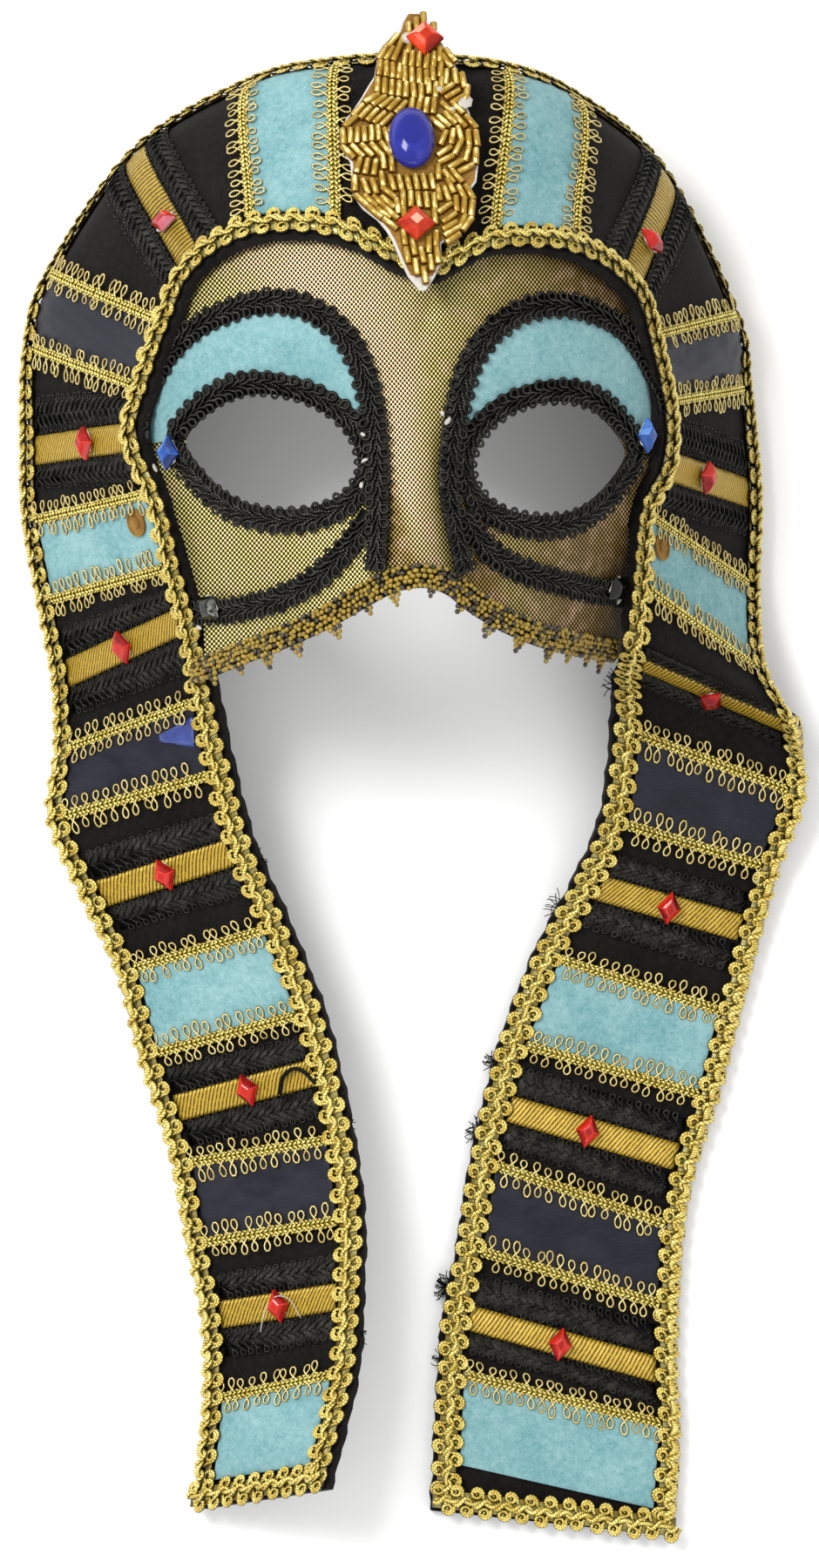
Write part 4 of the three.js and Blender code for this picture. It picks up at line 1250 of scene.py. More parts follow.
def cloth_size(columns, rows, place):
    """The flat width, length and area of a sheet, measured over its upper face in metres."""
    u, v = np.meshgrid(np.linspace(0, 1, columns + 1), np.linspace(0, 1, rows + 1), indexing="ij")
    top = place(u.ravel(), v.ravel(), np.ones(u.size, bool)).reshape(columns + 1, rows + 1, 3) * MM
    along, across = np.diff(top, axis=0), np.diff(top, axis=1)
    area = np.linalg.norm(np.cross(along[:, :-1], across[:-1]), axis=2).sum()
    length = np.linalg.norm(along, axis=2).sum(axis=0).max()
    width = np.linalg.norm(across, axis=2).sum(axis=1).max()
    return float(width), float(length), float(area)


def braid_stray(station):
    """How far the inner braid strays from its seam towards the mask, beside the cheeks."""
    stations = [-8.7, -7.95, -7.4, -6.9, -6.4, -5.5, 3.6, 4.6, 5.7, 6.8, 7.3, 8.0, 8.6, 9.0, 9.8]
    strays = [0, 1.6, 2.3, 1.5, 0.5, 0, 0, 1.4, 0.1, 1.0, 1.4, 2.2, 1.6, 1.6, 0]
    return np.interp(station, stations, strays)


def braid_line(station):
    """How far in from the outer seam the inner braid runs."""
    return band_width(station) + braid_stray(station)


def felt_edge(station):
    """How far in from the outer seam the felt goes."""
    beside_mask = FELT["beside_mask"] * bell(np.abs(station) - 7, 2.5)
    stations = [-8.1, -7.4, -7, -6.4, -5.6, 5.4, 6.2, 6.6, 7, 7.5, 8, 8.6]
    at_cheek = np.interp(station, stations, [0, 1.2, 1.6, 1.3, 0, 0, 0.9, 1.8, 2.5, 2.3, 1.7, 0])
    return band_width(station) + FELT["past_inner"] + beside_mask - at_cheek


def headdress_felt():
    """The black felt, from hem to hem, with slightly ragged edges."""
    lappet_middle = 20.0
    ends = [
        station_after(np.array([way * LAST]), lappet_middle, way * FELT["past_hem"])[0]
        for way in (-1, 1)
    ]
    table = np.linspace(ends[0], ends[1], 2000)
    middle = band_points(table, band_width(table) / 2, 0.0)
    run = np.concatenate([[0], np.cumsum(np.linalg.norm(np.diff(middle, axis=0), axis=1))])

    def place(u, v, top):
        station = np.interp(u * run[-1], run, table)
        near = -0.7 + 0.15 * np.sin(u * 1301)
        far = felt_edge(station) + (0.25 * np.sin(u * 911) + 0.2 * np.sin(u * 2273 + 1.3))
        distance = near + v * (far - near)
        return band_points(station, distance, np.where(top, FELT["thick"], 0.0))

    piece = draped_block(430, 28, place, round_edge=0.8)
    finish_piece(piece, "headdress_felt", "black_felt", ["headdress_base"])
    area = cloth_size(430, 28, place)[2]


TUCK = INSIDE_BRAID - 1.6


def colour_panel(side, sign, index):
    """A turquoise or navy panel between two stations, tucked under the braids round it."""
    first = PANEL_STATIONS[index]
    kind, finish = ("navy", "navy_satin") if index % 2 else ("turquoise", "turquoise_felt")
    is_hem = first == LAST - 1
    clear = CROSS_WIDTH / 2 - 0.3
    end_clear = HEM_WIDTH / 2 - 1.2 if is_hem else clear
    bare_felt = 4.9 if is_hem and sign > 0 else 0.0
    near = min(sign * first, sign * (first + 1))
    near_clear, far_clear = (clear, end_clear) if sign > 0 else (end_clear, clear)

    def place(u, v, top):
        station = near + u
        for _ in range(3):
            distance = TUCK + v * (braid_line(station) - 2 * TUCK)
            start = station_after(np.full(len(u), float(near)), distance, near_clear)
            end = station_after(np.full(len(u), near + 1.0), distance, -far_clear - bare_felt * v)
            station = start + u * (end - start)
        pillow = 0.12 * np.sin(u * 23 + index) * np.sin(v * 17 + first)
        return band_points(station, distance, SURFACE + np.where(top, PANEL_THICK + pillow, 0.0))

    piece = draped_block(18, 30, place, round_edge=0.22)
    at = f"{PANEL_PLACES[index]}_{side}"
    finish_piece(piece, f"{kind}_cloth_{at}", finish, [f"{kind}_panel_{at}"])
    width, length, area = cloth_size(18, 30, place)


def ribbon_stripe(side, sign, number):
    """A gold ribbon across the headdress. The two beside the crown have bolder ribs."""
    station = sign * RIBBON_STATIONS[number - 1]
    length, width = across_length(station, TUCK, TUCK), RIBBON_WIDTH + 0.5

    def place(u, v, top):
        at = np.full(len(u), float(station))
        spot = at.copy()
        for _ in range(3):
            distance = TUCK + u * (braid_line(spot) - 2 * TUCK)
            spot = station_after(at, distance, (v - 0.5) * width)
        crown = 0.25 * (1 - (2 * v - 1) ** 2) + 0.06 * np.sin(u * 31 + number)
        return band_points(spot, distance, SURFACE + np.where(top, 0.5 + crown, 0.0))

    piece = draped_block(40, 6, place, map_size=(length, width))
    finish = "crown_ribbon" if number == 1 else "lappet_ribbon"
    node = f"gold_ribbon_{number}_{side}"
    finish_piece(piece, f"gold_stripe_{number}_{side}", finish, [node])


def laid_across(make, seed, station, offset, tuck, base):
    """A trim made as long as the headdress is wide at a station, and laid across it there."""
    short = tuck - float(braid_stray(station))
    length = across_length(station, tuck, short)
    trim = make(length, seed)
    lay_across(trim, length, station, offset, tuck, short, base)
    return trim


def cross_trims(side, sign):
    """The two black gimps beside each ribbon, and the thin gold braids between the panels."""
    for number, station in enumerate(RIBBON_STATIONS, 1):
        for label, offset in (("upper", -GIMP_OFFSET), ("lower", GIMP_OFFSET)):
            seed, tuck = 40 * number + sign + int(offset), INSIDE_BRAID - 1.2
            trim = laid_across(
                stripe_gimp, seed, sign * station, offset * sign, tuck, SURFACE - 0.1
            )
            name = f"black_gimp_{label}_{number}_{side}"
            finish_piece(trim, name, "black_gimp", ["headdress_base"])
    kinds = (("loops", loop_row, "gold_wire"), ("core", knitted_core, "gold_knit"))
    for number, station in enumerate(CROSS_STATIONS, 1):
        for label, make, finish in kinds:
            seed, tuck = 300 + 17 * number + sign, INSIDE_BRAID - 2.0
            trim = laid_across(make, seed, sign * station, 0.0, tuck, SURFACE + 0.05)
            name = f"cross_braid_{label}_{number}_{side}"
            finish_piece(trim, name, finish, ["outer_border_braid"])


def border_braids():
    """The gold scroll braids along both seams, and those across the hems."""
    for where, line, seed in (("outer", np.zeros_like, 5), ("inner", braid_line, 9)):
        lengths = line_lengths(line)
        ends = []
        for way in (-1, 1):
            at = np.array([float(way * LAST)])
            ends.append(float(station_after(at, line(at), way * 1.5)[0]))
        length = float(np.diff(np.interp(ends, FINE_STATIONS, lengths))[0])
        trim = scroll_braid(length, seed)
        lay_along(trim, line, lengths, ends[0], SURFACE + 0.25, rolls_over=where == "outer")
        node = f"{where}_border_braid"
        finish_piece(trim, f"{where}_scroll_braid", "gold_braid", [node])
    for side, sign in SIDES:
        start, short = -2.4, -3.2
        length = across_length(sign * LAST, start, short)
        trim = scroll_braid(length, 70 + sign, "hem_coils", HEM_PITCH)
        lay_across(trim, length, sign * LAST, sign * 0.2, start, short, SURFACE + 1.0)
        node = f"hem_braid_{side}"
        finish_piece(trim, f"hem_scroll_braid_{side}", "gold_braid", [node])


# Stones

def cut_stone(half_x, half_y, height, bevel=0.22):
    """A square-cut stone: a girdle, a crown of sloping facets and a small table."""
    girdle = 0.3 * height
    bpy.ops.mesh.primitive_cylinder_add(
        vertices=4, radius=1, depth=girdle, location=(0, 0, girdle / 2)
    )
    piece = settle(bpy.context.object)
    edit_top(piece)
    for rise, size in ((0.45 * height, 0.74), (0.25 * height, 0.55)):
        extrude_up(rise)
        bpy.ops.transform.resize(value=(size, size, 1))
    bpy.ops.object.mode_set(mode="OBJECT")
    move_points(piece, points_of(piece) * np.array([half_x, half_y, 1.0]))
    return bevelled(piece, bevel, 12, segments=1)


def paint_facet_light(piece, tones, seed):
    """Records on each facet how light it looks, as painted light and reflection: upper right,
    upper left, lower left, lower right, table, and the narrow edges between them."""
    rng = random.Random(seed)
    shades = [tone + rng.uniform(-0.12, 0.12) for tone in tones]
    layer = piece.data.attributes.new("facet", "FLOAT", "FACE")
    for face, mark in zip(piece.data.polygons, layer.data):
        if face.normal.z > 0.97:
            mark.value = shades[4]
        elif face.area < 1.1:
            mark.value = shades[5]
        else:
            way = math.degrees(math.atan2(face.normal.y, face.normal.x)) % 360
            mark.value = shades[int(way // 90)]


def glue_blob(half_x, half_y, depth):
    """A flattened drop with a slightly wavy rim."""
    bpy.ops.mesh.primitive_uv_sphere_add(segments=14, ring_count=8, radius=1)
    piece = bpy.context.object
    points = points_of(piece) * np.array([half_x, half_y, depth])
    points[:, :2] *= 1 + 0.08 * np.sin(7 * np.arctan2(points[:, 1], points[:, 0]))[:, None]
    move_points(piece, points)
    return piece


def stand_on(piece, origin, x_axis, z_axis, turn=0.0):
    """Puts a piece on a place, with its own x and z axes along these, and turned about z."""
    z = np.asarray(z_axis, float) / np.linalg.norm(z_axis)
    y = np.cross(z, x_axis)
    y /= np.linalg.norm(y)
    x = np.cross(y, z)
    c, s = math.cos(turn), math.sin(turn)
    x, y = x * c + y * s, y * c - x * s
    place_in_frame(piece, points_of(piece) @ np.stack([x, y, z]) + np.asarray(origin, float))


def band_seat(station, distance, height):
    """A place over the headdress, with the ways across it and straight up from it."""
    at = np.array([float(station)])
    spot = band_points(at, distance, height)[0]
    up = band_points(at, distance, height + 1)[0] - spot
    across = band_points(at, distance + 1, height)[0] - spot
    return spot, across, up


def mask_seat(x, y, height):
    """A place over the mask, with the ways to the right and straight up from it."""
    at_x, at_y = np.array([float(x)]), np.array([float(y)])
    spot = mask_points(at_x, at_y, height)[0]
    return spot, (1, 0, 0), mask_points(at_x, at_y, height + 1)[0] - spot


def set_stone(stone, seat, turn, glue_size, names, finish, node):
    """Puts a stone on its seat, with glue round its foot."""
    stand_on(stone, *seat, turn)
    finish_piece(stone, names[0], finish, [node], smooth=False)
    blob = glue_blob(*glue_size, 0.7)
    stand_on(blob, *seat)
    finish_piece(blob, names[1], "glue")


# The red stones from the crown down: how far across the headdress each lies, and its turn
STONE_PLACES = [0.675, 0.605, 0.525, 0.51, 0.53, 0.515]
STONE_TURNS = {
    "left": [-0.62, 0.05, -0.1, 0.12, 0.1, 0.08], "right": [0.1, -0.12, 0.1, 0.12, 0.05, 0.1],
}

# How light their facets look, as painted light and reflection, and the two that look otherwise
RED_TONES = (0.3, 1.0, 0.2, 0.7, 0.5, 0.9)
ODD_RED_TONES = {
    ("left", 1): (1.9, 1.1, 0.6, 0.1, 0.6, 0.5), ("right", 3): (0.1, 0.4, -0.2, 0.1, 0.2, 0.4),
}

# The stones at the outer ends of the eye trims: their half sizes and height, their turn, and
# their places and tones, which are painted light and reflection on their facets
MASK_STONES = {
    "blue": {
        "size": (3.7, 4.5, 2.2), "turn": 0.06,
        "left": ((-56.6, 78), (0.4, 1.5, 0.9, 0.1, 0.7, 0.8)),
        "right": ((57.3, 85.2), (0.1, 1.3, 0.6, 0.0, 0.4, 0.6)),
    },
    "clear": {
        "size": (3.9, 4.2, 2.2), "turn": 0.35,
        "left": ((-45.4, 41.2), (1.3, 0.7, 0.0, 0.0, 0.1, 0.5)),
        "right": ((50.9, 48.4), (0.1, 0.7, 0.0, 0.0, 0.0, 0.3)),
    },
}


def ribbon_stones(side, sign):
    for number, station in enumerate(RIBBON_STATIONS, 1):
        place = sign * station
        width = float(band_width(place)[0])
        seat = band_seat(place, width * STONE_PLACES[number - 1], 4.1)
        stone = cut_stone(3.15, 4.4, 2.6)
        paint_facet_light(stone, ODD_RED_TONES.get((side, number), RED_TONES), 10 * number + sign)
        at = f"{number}_{side}"
        names = (f"red_lozenge_{at}", f"stone_glue_{at}")
        turn = STONE_TURNS[side][number - 1]
        set_stone(stone, seat, turn, (2.3, 3.2), names, "red_stone", f"red_stone_{at}")


def mask_stones(side, sign):
    for kind, look in MASK_STONES.items():
        place, tones = look[side]
        half_x, half_y, height = look["size"]
        stone = cut_stone(half_x, half_y, height)
        paint_facet_light(stone, tones, sign)
        names = (f"{kind}_cut_{side}", f"{kind}_cut_glue_{side}")
        set_stone(
            stone, mask_seat(*place, 2.4), look["turn"] * sign, (half_x * 0.75, half_y * 0.75),
            names, f"{kind}_stone", f"{kind}_stone_{side}",
        )


def strap_rivet(side, sign):
    """A thin brass disc with a rolled rim, just under the edge of the inner braid."""
    radius, under_braid = 3.5, 1.6
    at = np.array([float(sign * 7)])
    limit = band_width(at) - INSIDE_BRAID
    station = float(station_after(at, limit, sign * (CROSS_WIDTH / 2 + radius + 2 * GAP))[0])
    distance = float(band_width(station)[0]) - INSIDE_BRAID - radius - GAP + under_braid
    seat = band_seat(station, distance, SURFACE + PANEL_THICK + 0.05)
    bpy.ops.mesh.primitive_cylinder_add(
        vertices=28, radius=radius, depth=0.6, location=(0, 0, 0.3)
    )
    disc = settle(bpy.context.object)
    edit_top(disc)
    for inset, rise in ((0.55, -0.22), (1.5, 0.45)):
        bpy.ops.mesh.inset(thickness=inset)
        extrude_up(rise)
    bpy.ops.object.mode_set(mode="OBJECT")
    bevelled(disc, 0.12, 40)
    stand_on(disc, *seat)
    node = f"strap_rivet_{side}"
    finish_piece(disc, f"brass_snap_{side}", "brass", [node], angle=35)


# The half mask

def upright_prism(outline):
    """A tall block with the given outline, for cutting a shape out of a shell."""
    low, high = -50.0, 150.0
    outline = np.asarray(outline, float)
    turning = np.roll(outline, -1, axis=0)
    if (outline[:, 0] * turning[:, 1] - turning[:, 0] * outline[:, 1]).sum() > 0:
        outline = outline[::-1]
    block = flat_sheet(outline, low)
    raise_block(block, high - low)
    place_in_frame(block, points_of(block))
    return block


def band_clearance():
    """The space along the headdress's inner edge that the mask stays clear of."""

    def place(u, v, top):
        station = -11 + 22 * u
        width = band_width(station)
        edge = np.maximum(felt_edge(station), width + BORDER_WIDTH / 2) + GAP
        distance = width - 18 + v * (edge - width + 18)
        return band_points(station, distance, np.where(top, 12.0, -0.3))

    return draped_block(120, 2, place)


def cut_with(piece, tool, operation):
    applied(piece, "BOOLEAN", operation=operation, object=tool, solver="EXACT")


def put_away(*tools):
    """Deletes pieces that were only there to make others."""
    for tool in tools:
        bpy.data.objects.remove(tool)


def mask_sheet(low, high, step):
    """A thick sheet over the whole mask form, with a dent in the brow and slight rumples."""

    def place(u, v, top):
        x, y = SHELL_LEFT + SHELL_WIDTH * u, SHELL_BOTTOM + SHELL_LENGTH * v
        dent = 1.1 * bell(x - 2 - 0.25 * (y - 112), 2.2) * bell(y - 117, 9)
        rumple = 0.16 * bell(x + 5, 7) * bell(y - 95, 12) * np.sin(0.9 * x + 0.5 * y)
        lift = np.where(top, high, low) - (dent - rumple) * bell(y - 112, 24)
        return mask_points(x, y, lift)

    return draped_block(int(SHELL_WIDTH / step), int(SHELL_LENGTH / step), place)


def mask_outline():
    """The mask's edge, along the headdress's inner seam and the lower side of the bead trim."""
    station = np.linspace(-9.6, 8.7, 90)
    arch = inner_seam(station)[:, :2]
    bottom = seam_curve(BEAD_LINE, np.linspace(0, 1, 60), straight_ends=False)
    bottom = bottom - np.array([0, BEAD_TRIM_WIDTH / 2])
    return np.vstack([arch, bottom[::-1]])


def half_mask():
    """A stiff black lining under a layer of lamé, with the eye holes cut through both."""
    outline = upright_prism(mask_outline())
    clear = band_clearance()
    for name, low, high, grow, finish in (
        ("half_mask", -0.8, 0.0, -2.4, "lame"), ("mask_lining", -1.6, -0.8, -2.5, "black_felt"),
    ):
        shell = mask_sheet(low, high, 1.4)
        holes = [upright_prism(eye_line(side, sign, grow, 48)) for side, sign in SIDES]
        cut_with(shell, outline, "INTERSECT")
        for tool in [*holes, clear]:
            cut_with(shell, tool, "DIFFERENCE")
        put_away(*holes)
        finish_piece(shell, name, finish, ["face_mask"], angle=35)
    put_away(outline, clear)


def brow_arch(side, sign):
    return [(sign * x, y) for x, y in BROW_ARCH[side]]


def eyelid_cloth(side, sign):
    """Turquoise felt that fills the brow arch above the eye."""
    arch = seam_curve(brow_arch(side, sign), np.linspace(0, 1, 120), straight_ends=False)
    middle = EYE[f"{side}_x"]
    roof = [
        point for point in eye_line(side, sign, 1.2, 96)
        if point[1] > 79 + 0.06 * (sign * point[0] - middle)
    ]
    roof.sort(key=lambda point: sign * point[0])
    sheet = mask_sheet(0.12, 0.6, 1.5)
    block = upright_prism([point for point in arch if point[1] > 80] + roof)
    cut_with(sheet, block, "INTERSECT")
    clear = band_clearance()
    cut_with(sheet, clear, "DIFFERENCE")
    put_away(block, clear)
    node = f"eyelid_panel_{side}"
    piece = finish_piece(
        sheet, f"eyelid_cloth_{side}", "turquoise_felt", [node], angle=40
    )
    span = np.ptp(points_of(piece), axis=0)


def arch_lift(x, length):
    """The brow arch starts over the headdress's felt, and crosses over the ring beside the nose."""
    return 0.9 * smooth_step(x / length, 0.62, 0.75) + 2.3 * (1 - smooth_step(x, 4, 16))


def stroke_lift(x, _length):
    """The lower stroke starts on top of the brow arch."""
    return 0.6 * smooth_step(10 - x, 0, 8)


def eye_gimps(side, sign):
    """The ring round an eye, the brow arch and the lower stroke."""
    stroke = [(sign * x, y) for x, y in LOWER_STROKE[side]]
    parts = []
    for points, closed, seed, lift_at in (
        (eye_line(side, sign, 0.0, 160), True, 500, None),
        (brow_arch(side, sign), False, 520, arch_lift),
        (stroke, False, 540, stroke_lift),
    ):
        line, solid, lengths = mask_line(points, closed)
        trim = eye_gimp(lengths[-1], seed + sign)
        lay_on_mask(trim, line, solid, lengths, 0.3, lift_at)
        parts.append(trim)
    name = f"eye_trim_{side}"
    finish_piece(joined(name, parts), name, "black_gimp", [f"eye_gimp_{side}"])


def bead_trim():
    """Rows of seed beads on a net along the mask's lower edge, with small hanging drops."""
    line, solid, lengths = mask_line(BEAD_LINE)
    rng = random.Random(11)
    strip = {"gold": [], "dark": []}
    tones = ["gold", "gold", "dark"]
    pitch, drops, total = 1.32, 16, float(lengths[-1])
    for row in range(5):
        for k in range(int(total / pitch)):
            x = (k + 0.5 * (row % 2)) * pitch + rng.uniform(-0.3, 0.3)
            y = -2.4 + row * 1.2 + rng.uniform(-0.3, 0.3)
            strip[rng.choice(tones)].append((x, y, 0.75 + rng.uniform(0, 0.5)))
    for drop in range(1, drops):
        at = total * drop / drops + rng.uniform(-1.2, 1.2)
        size = rng.choice([2, 3, 3])
        for step in range(size):
            for k in range(size - step):
                x = at + (k - (size - step - 1) / 2) * 1.3 + rng.uniform(-0.15, 0.15)
                strip[rng.choice(tones)].append((x, -3.5 - 1.15 * step, 0.6 - 0.1 * step))
    for tone, spots in strip.items():
        unit = bead((0, 0, 0), (1.42, 1.42, 1.2))
        row = row_of(unit, len(spots), 0.0)
        put_away(unit)
        count = len(points_of(row)) // len(spots)
        move_points(row, points_of(row) + np.repeat(np.array(spots), count, axis=0))
        lay_on_mask(row, line, solid, lengths, 0.1)
        finish_piece(row, f"bead_edge_{tone}", f"seed_bead_{tone}", ["bead_trim"])
    net = tape(total, 5.6, 0.0, 0.5)
    lay_on_mask(net, line, solid, lengths, 0.12)
    finish_piece(net, "bead_net", "black_felt")


# The crest ornament, in its own frame on the slope of the crown

SLOPE = math.atan2(28, 52)
CREST = {
    "lean": 0.05 - SLOPE, "x": -0.2, "y": 176 - 10 * math.cos(SLOPE),
    "z": 60 + 10 * math.sin(SLOPE),
}
BACKING_LOW, PAD_LOW, STONE_LOW = 4.8, 6.1, 8.1
ORNAMENT_OUTLINE = [
    (18.2, 3, 1.5), (16, 4.1, 3), (12.9, 5.1, 5.2), (9.9, 7.4, 6.6), (6.8, 9.4, 8.1),
    (3.7, 10.7, 9.6), (0.6, 11.1, 10.3), (-2.4, 12.8, 12), (-5.5, 14.4, 11.1), (-8.6, 16.2, 12.5),
    (-11.6, 18.3, 13.2), (-14.7, 19.4, 14.3), (-17.7, 19.7, 14.5), (-20.8, 18.8, 14.7),
    (-23.5, 17.4, 14.4), (-28, 17.1, 13.8), (-30.5, 16.9, 12.1), (-33, 16.6, 12.2),
    (-36.2, 14.7, 12.2), (-39.3, 11.1, 11.6), (-42.3, 8.9, 8.6), (-45.4, 7.4, 4.8),
    (-50.3, 5.7, 4.9), (-54.6, 4, 3.1), (-58.3, 1.3, 0.9), (-59.8, 0.4, 0.5),
]

# Bugle beads, by place and lean in degrees: the first bead of a row, the last one and how many,
# or a bead by itself
BUGLE_ROWS = [
    (-2.3, 13.0, -1, -0.3, 14.3, -1, 2), (1.4, 15.9, -1), (3.8, 13.2, 2),
    (-6.2, 10.1, -41, -4.2, 9.6, -26, 2), (-2.2, 8.6, -15), (-8.8, 6.5, -29, -5.5, 6.2, -22, 3),
    (-3.4, 5.1, -9, 0.1, 4.8, -7, 3), (1.9, 4.3, -4, 3.7, 5.0, -1, 2),
    (7.7, 6.3, 31, 6.8, 4.6, 32, 2), (5.2, 6.4, -1), (-9.6, 2.1, -4, -4.8, 1.3, -4, 4),
    (-3.5, 0.6, 2, 1.8, -0.2, 2, 4), (3.4, 1.0, -1, 5.3, 2.2, -4, 2),
    (6.6, 0.2, -7, 8.9, 0.4, 4, 2), (10.7, -0.7, 7), (-10.2, -2.6, -1, -5.0, -3.6, -1, 4),
    (-3.3, -3.8, -1, 0.4, -4.1, 2, 3), (2.3, -2.7, -1, 4.0, -3.6, -1, 2), (5.4, -2.2, -5),
    (6.6, -3.1, -48, 9.4, -6.0, -56, 3), (11.5, -4.2, -5), (-11.7, -6.3, -55, -4.6, -8.6, -37, 5),
    (-2.0, -8.3, -12, 3.4, -8.1, -7, 4), (6.8, -8.6, 48, 9.1, -8.3, 45, 2),
    (-15.1, -9.8, -41, -8.2, -12.4, -39, 5), (-6.6, -13.9, -29),
    (4.2, -13.1, 43, 7.3, -11.3, 41, 3), (9.8, -12.0, 39, 12.4, -12.1, 37, 2),
    (-16.9, -13.0, -45), (-18.8, -17.3, -1, -10.2, -16.1, 2, 6), (-8.2, -16.8, 13),
    (5.5, -16.9, -21, 7.7, -16.5, -7, 2), (9.6, -15.6, 10), (11.7, -16.8, 4, 13.6, -16.7, 4, 2),
    (-17.7, -21.5, 46, -8.5, -20.3, 35, 5), (-7.3, -19.9, 11), (9.0, -19.6, -24),
    (11.2, -21.2, -19), (13.3, -21.8, -7), (5.7, -20.5, -53),
    (6.0, -22.8, -58, 10.8, -25.2, -61, 3), (-15.3, -25.2, -17, -11.3, -25.7, -11, 3),
    (-9.2, -23.9, 4), (-7.1, -24.6, -1), (-16.2, -30.2, 4),
    (-13.6, -31.1, 19, -11.5, -30.9, 18, 2), (-9.5, -28.8, 5),
    (-7.1, -29.8, 13, 2.6, -29.2, 10, 6), (4.1, -26.5, 4), (6.6, -27.6, 41, 8.6, -27.3, 39, 2),
    (7.0, -30.2, 24), (9.7, -31.9, 25, 11.6, -31.7, 24, 2), (4.1, -32.2, 7, 6.0, -32.4, 17, 2),
    (-14.6, -34.8, 41, -8.3, -35.1, 46, 4), (-8.1, -32.5, 46),
    (-11.4, -38.0, 46, -7.4, -38.2, 48, 3), (-7.8, -41.0, 48), (-6.0, -36.2, 5),
    (-4.6, -34.0, 2, 3.0, -34.5, 2, 5), (-4.4, -38.5, -1), (3.0, -38.7, 5),
    (8.3, -35.1, -1, 12.0, -36.2, -4, 3), (5.5, -36.2, -51, 6.5, -39.0, -52, 2),
    (6.6, -41.1, -52, 7.3, -44.5, -54, 3), (10.8, -40.4, -31, 9.6, -40.0, -26, 2),
    (-4.5, -44.8, 4), (-3.9, -49.6, 7), (-2.3, -47.4, 7), (-0.2, -49.5, 9), (1.4, -46.7, -1),
    (1.8, -51.6, 7), (-1.8, -52.8, 7), (0.2, -55.0, 6), (3.2, -44.9, 2), (3.4, -49.5, 5),
]


def place_on_crest(piece):
    points = points_of(piece)
    c, s = math.cos(CREST["lean"]), math.sin(CREST["lean"])
    turned = np.column_stack([
        points[:, 0] + CREST["x"],
        points[:, 1] * c - points[:, 2] * s + CREST["y"],
        points[:, 1] * s + points[:, 2] * c + CREST["z"],
    ])
    place_in_frame(piece, turned)
    return piece


def ornament_plate(grow, low, thick):
    """A plate with the ornament's outline, grown or shrunk evenly."""
    rows = [row for row in ORNAMENT_OUTLINE if min(row[1], row[2]) + grow > 0.3]
    right = [(r + grow, y) for y, l, r in rows]
    left = [(-l - grow, y) for y, l, r in reversed(rows)]
    plate = flat_sheet(np.array(right + left), low)
    raise_block(plate, thick)
    return place_on_crest(bevelled(plate, 0.3, 50))


def bugle_bead_field():
    """The ornament's tube beads, each laid down by itself."""
    bpy.ops.mesh.primitive_cylinder_add(
        vertices=8, radius=0.93, depth=4.55, rotation=(math.radians(90), 0, 0)
    )
    bar = settle(bpy.context.object)
    bevelled(bar, 0.16, 60, segments=1)
    mark_painted_shading(bar, -0.9, 0.9)
    rng = random.Random(5)
    bars = []
    for first_x, first_y, first_lean, *last in BUGLE_ROWS:
        last_x, last_y, last_lean, count = last or (first_x, first_y, first_lean, 1)
        for k in range(count):
            share = k / max(count - 1, 1)
            lean = first_lean + (last_lean - first_lean) * share + rng.uniform(-4, 4)
            x = first_x + (last_x - first_x) * share
            y = first_y + (last_y - first_y) * share
            bars.append((x, y, math.radians(lean), rng.uniform(-0.1, 0.15)))
    field = row_of(bar, len(bars), 0.0)
    put_away(bar)
    points = points_of(field)
    spots = np.repeat(np.array(bars), len(points) // len(bars), axis=0)
    c, s = np.cos(spots[:, 2]), np.sin(spots[:, 2])
    turned = np.column_stack([
        points[:, 0] * c - points[:, 1] * s + spots[:, 0],
        points[:, 0] * s + points[:, 1] * c + spots[:, 1],
        points[:, 2] + PAD_LOW + 0.75 + spots[:, 3],
    ])
    move_points(field, turned)
    place_on_crest(field)
    finish_piece(
        field, "bugle_bead_field", "bugle_bead", ["ornament_beads"], angle=50
    )


def crest_ornament():
    backing = ornament_plate(-0.35, BACKING_LOW, 1.2)
    finish_piece(
        backing, "ornament_felt", "white_felt", ["ornament_backing"], angle=40
    )
    ground = ornament_plate(-0.9, PAD_LOW - 0.1, 0.35)
    finish_piece(
        ground, "bead_ground", "bead_ground", ["ornament_beads"], angle=40
    )
    bugle_bead_field()

    bpy.ops.mesh.primitive_uv_sphere_add(segments=40, ring_count=24, radius=1)
    dome = bpy.context.object
    points = points_of(dome)
    points[:, 2] = np.where(points[:, 2] > 0, points[:, 2] * 4.4, points[:, 2] * 0.8) + 0.5
    oval, seat = np.array([5.6, 8.3, 1.0]), np.array([-2.3, -17.8, STONE_LOW - 0.6])
    move_points(dome, points * oval + seat)
    place_on_crest(dome)
    finish_piece(dome, "blue_oval_stone", "cabochon", ["blue_cabochon"])
    # The tones are painted light and reflection on the square stones' facets
    for name, x, y, tones in (
        ("crest_stone", 1.5, 10.4, (1.1, 1.5, 0.9, 0.1, 0.3, 0.6)),
        ("lower_ornament_stone", -1.7, -41.2, (0.8, 0.7, 0.4, 0.6, 2.0, 0.8)),
    ):
        stone = cut_stone(4.8, 4.8, 3.0, 0.25)
        paint_facet_light(stone, tones, 3)
        move_points(stone, points_of(stone) + np.array([x, y, STONE_LOW - 0.5]))
        place_on_crest(stone)
        finish_piece(stone, f"square_{name}", "ornament_stone", [name], smooth=False)


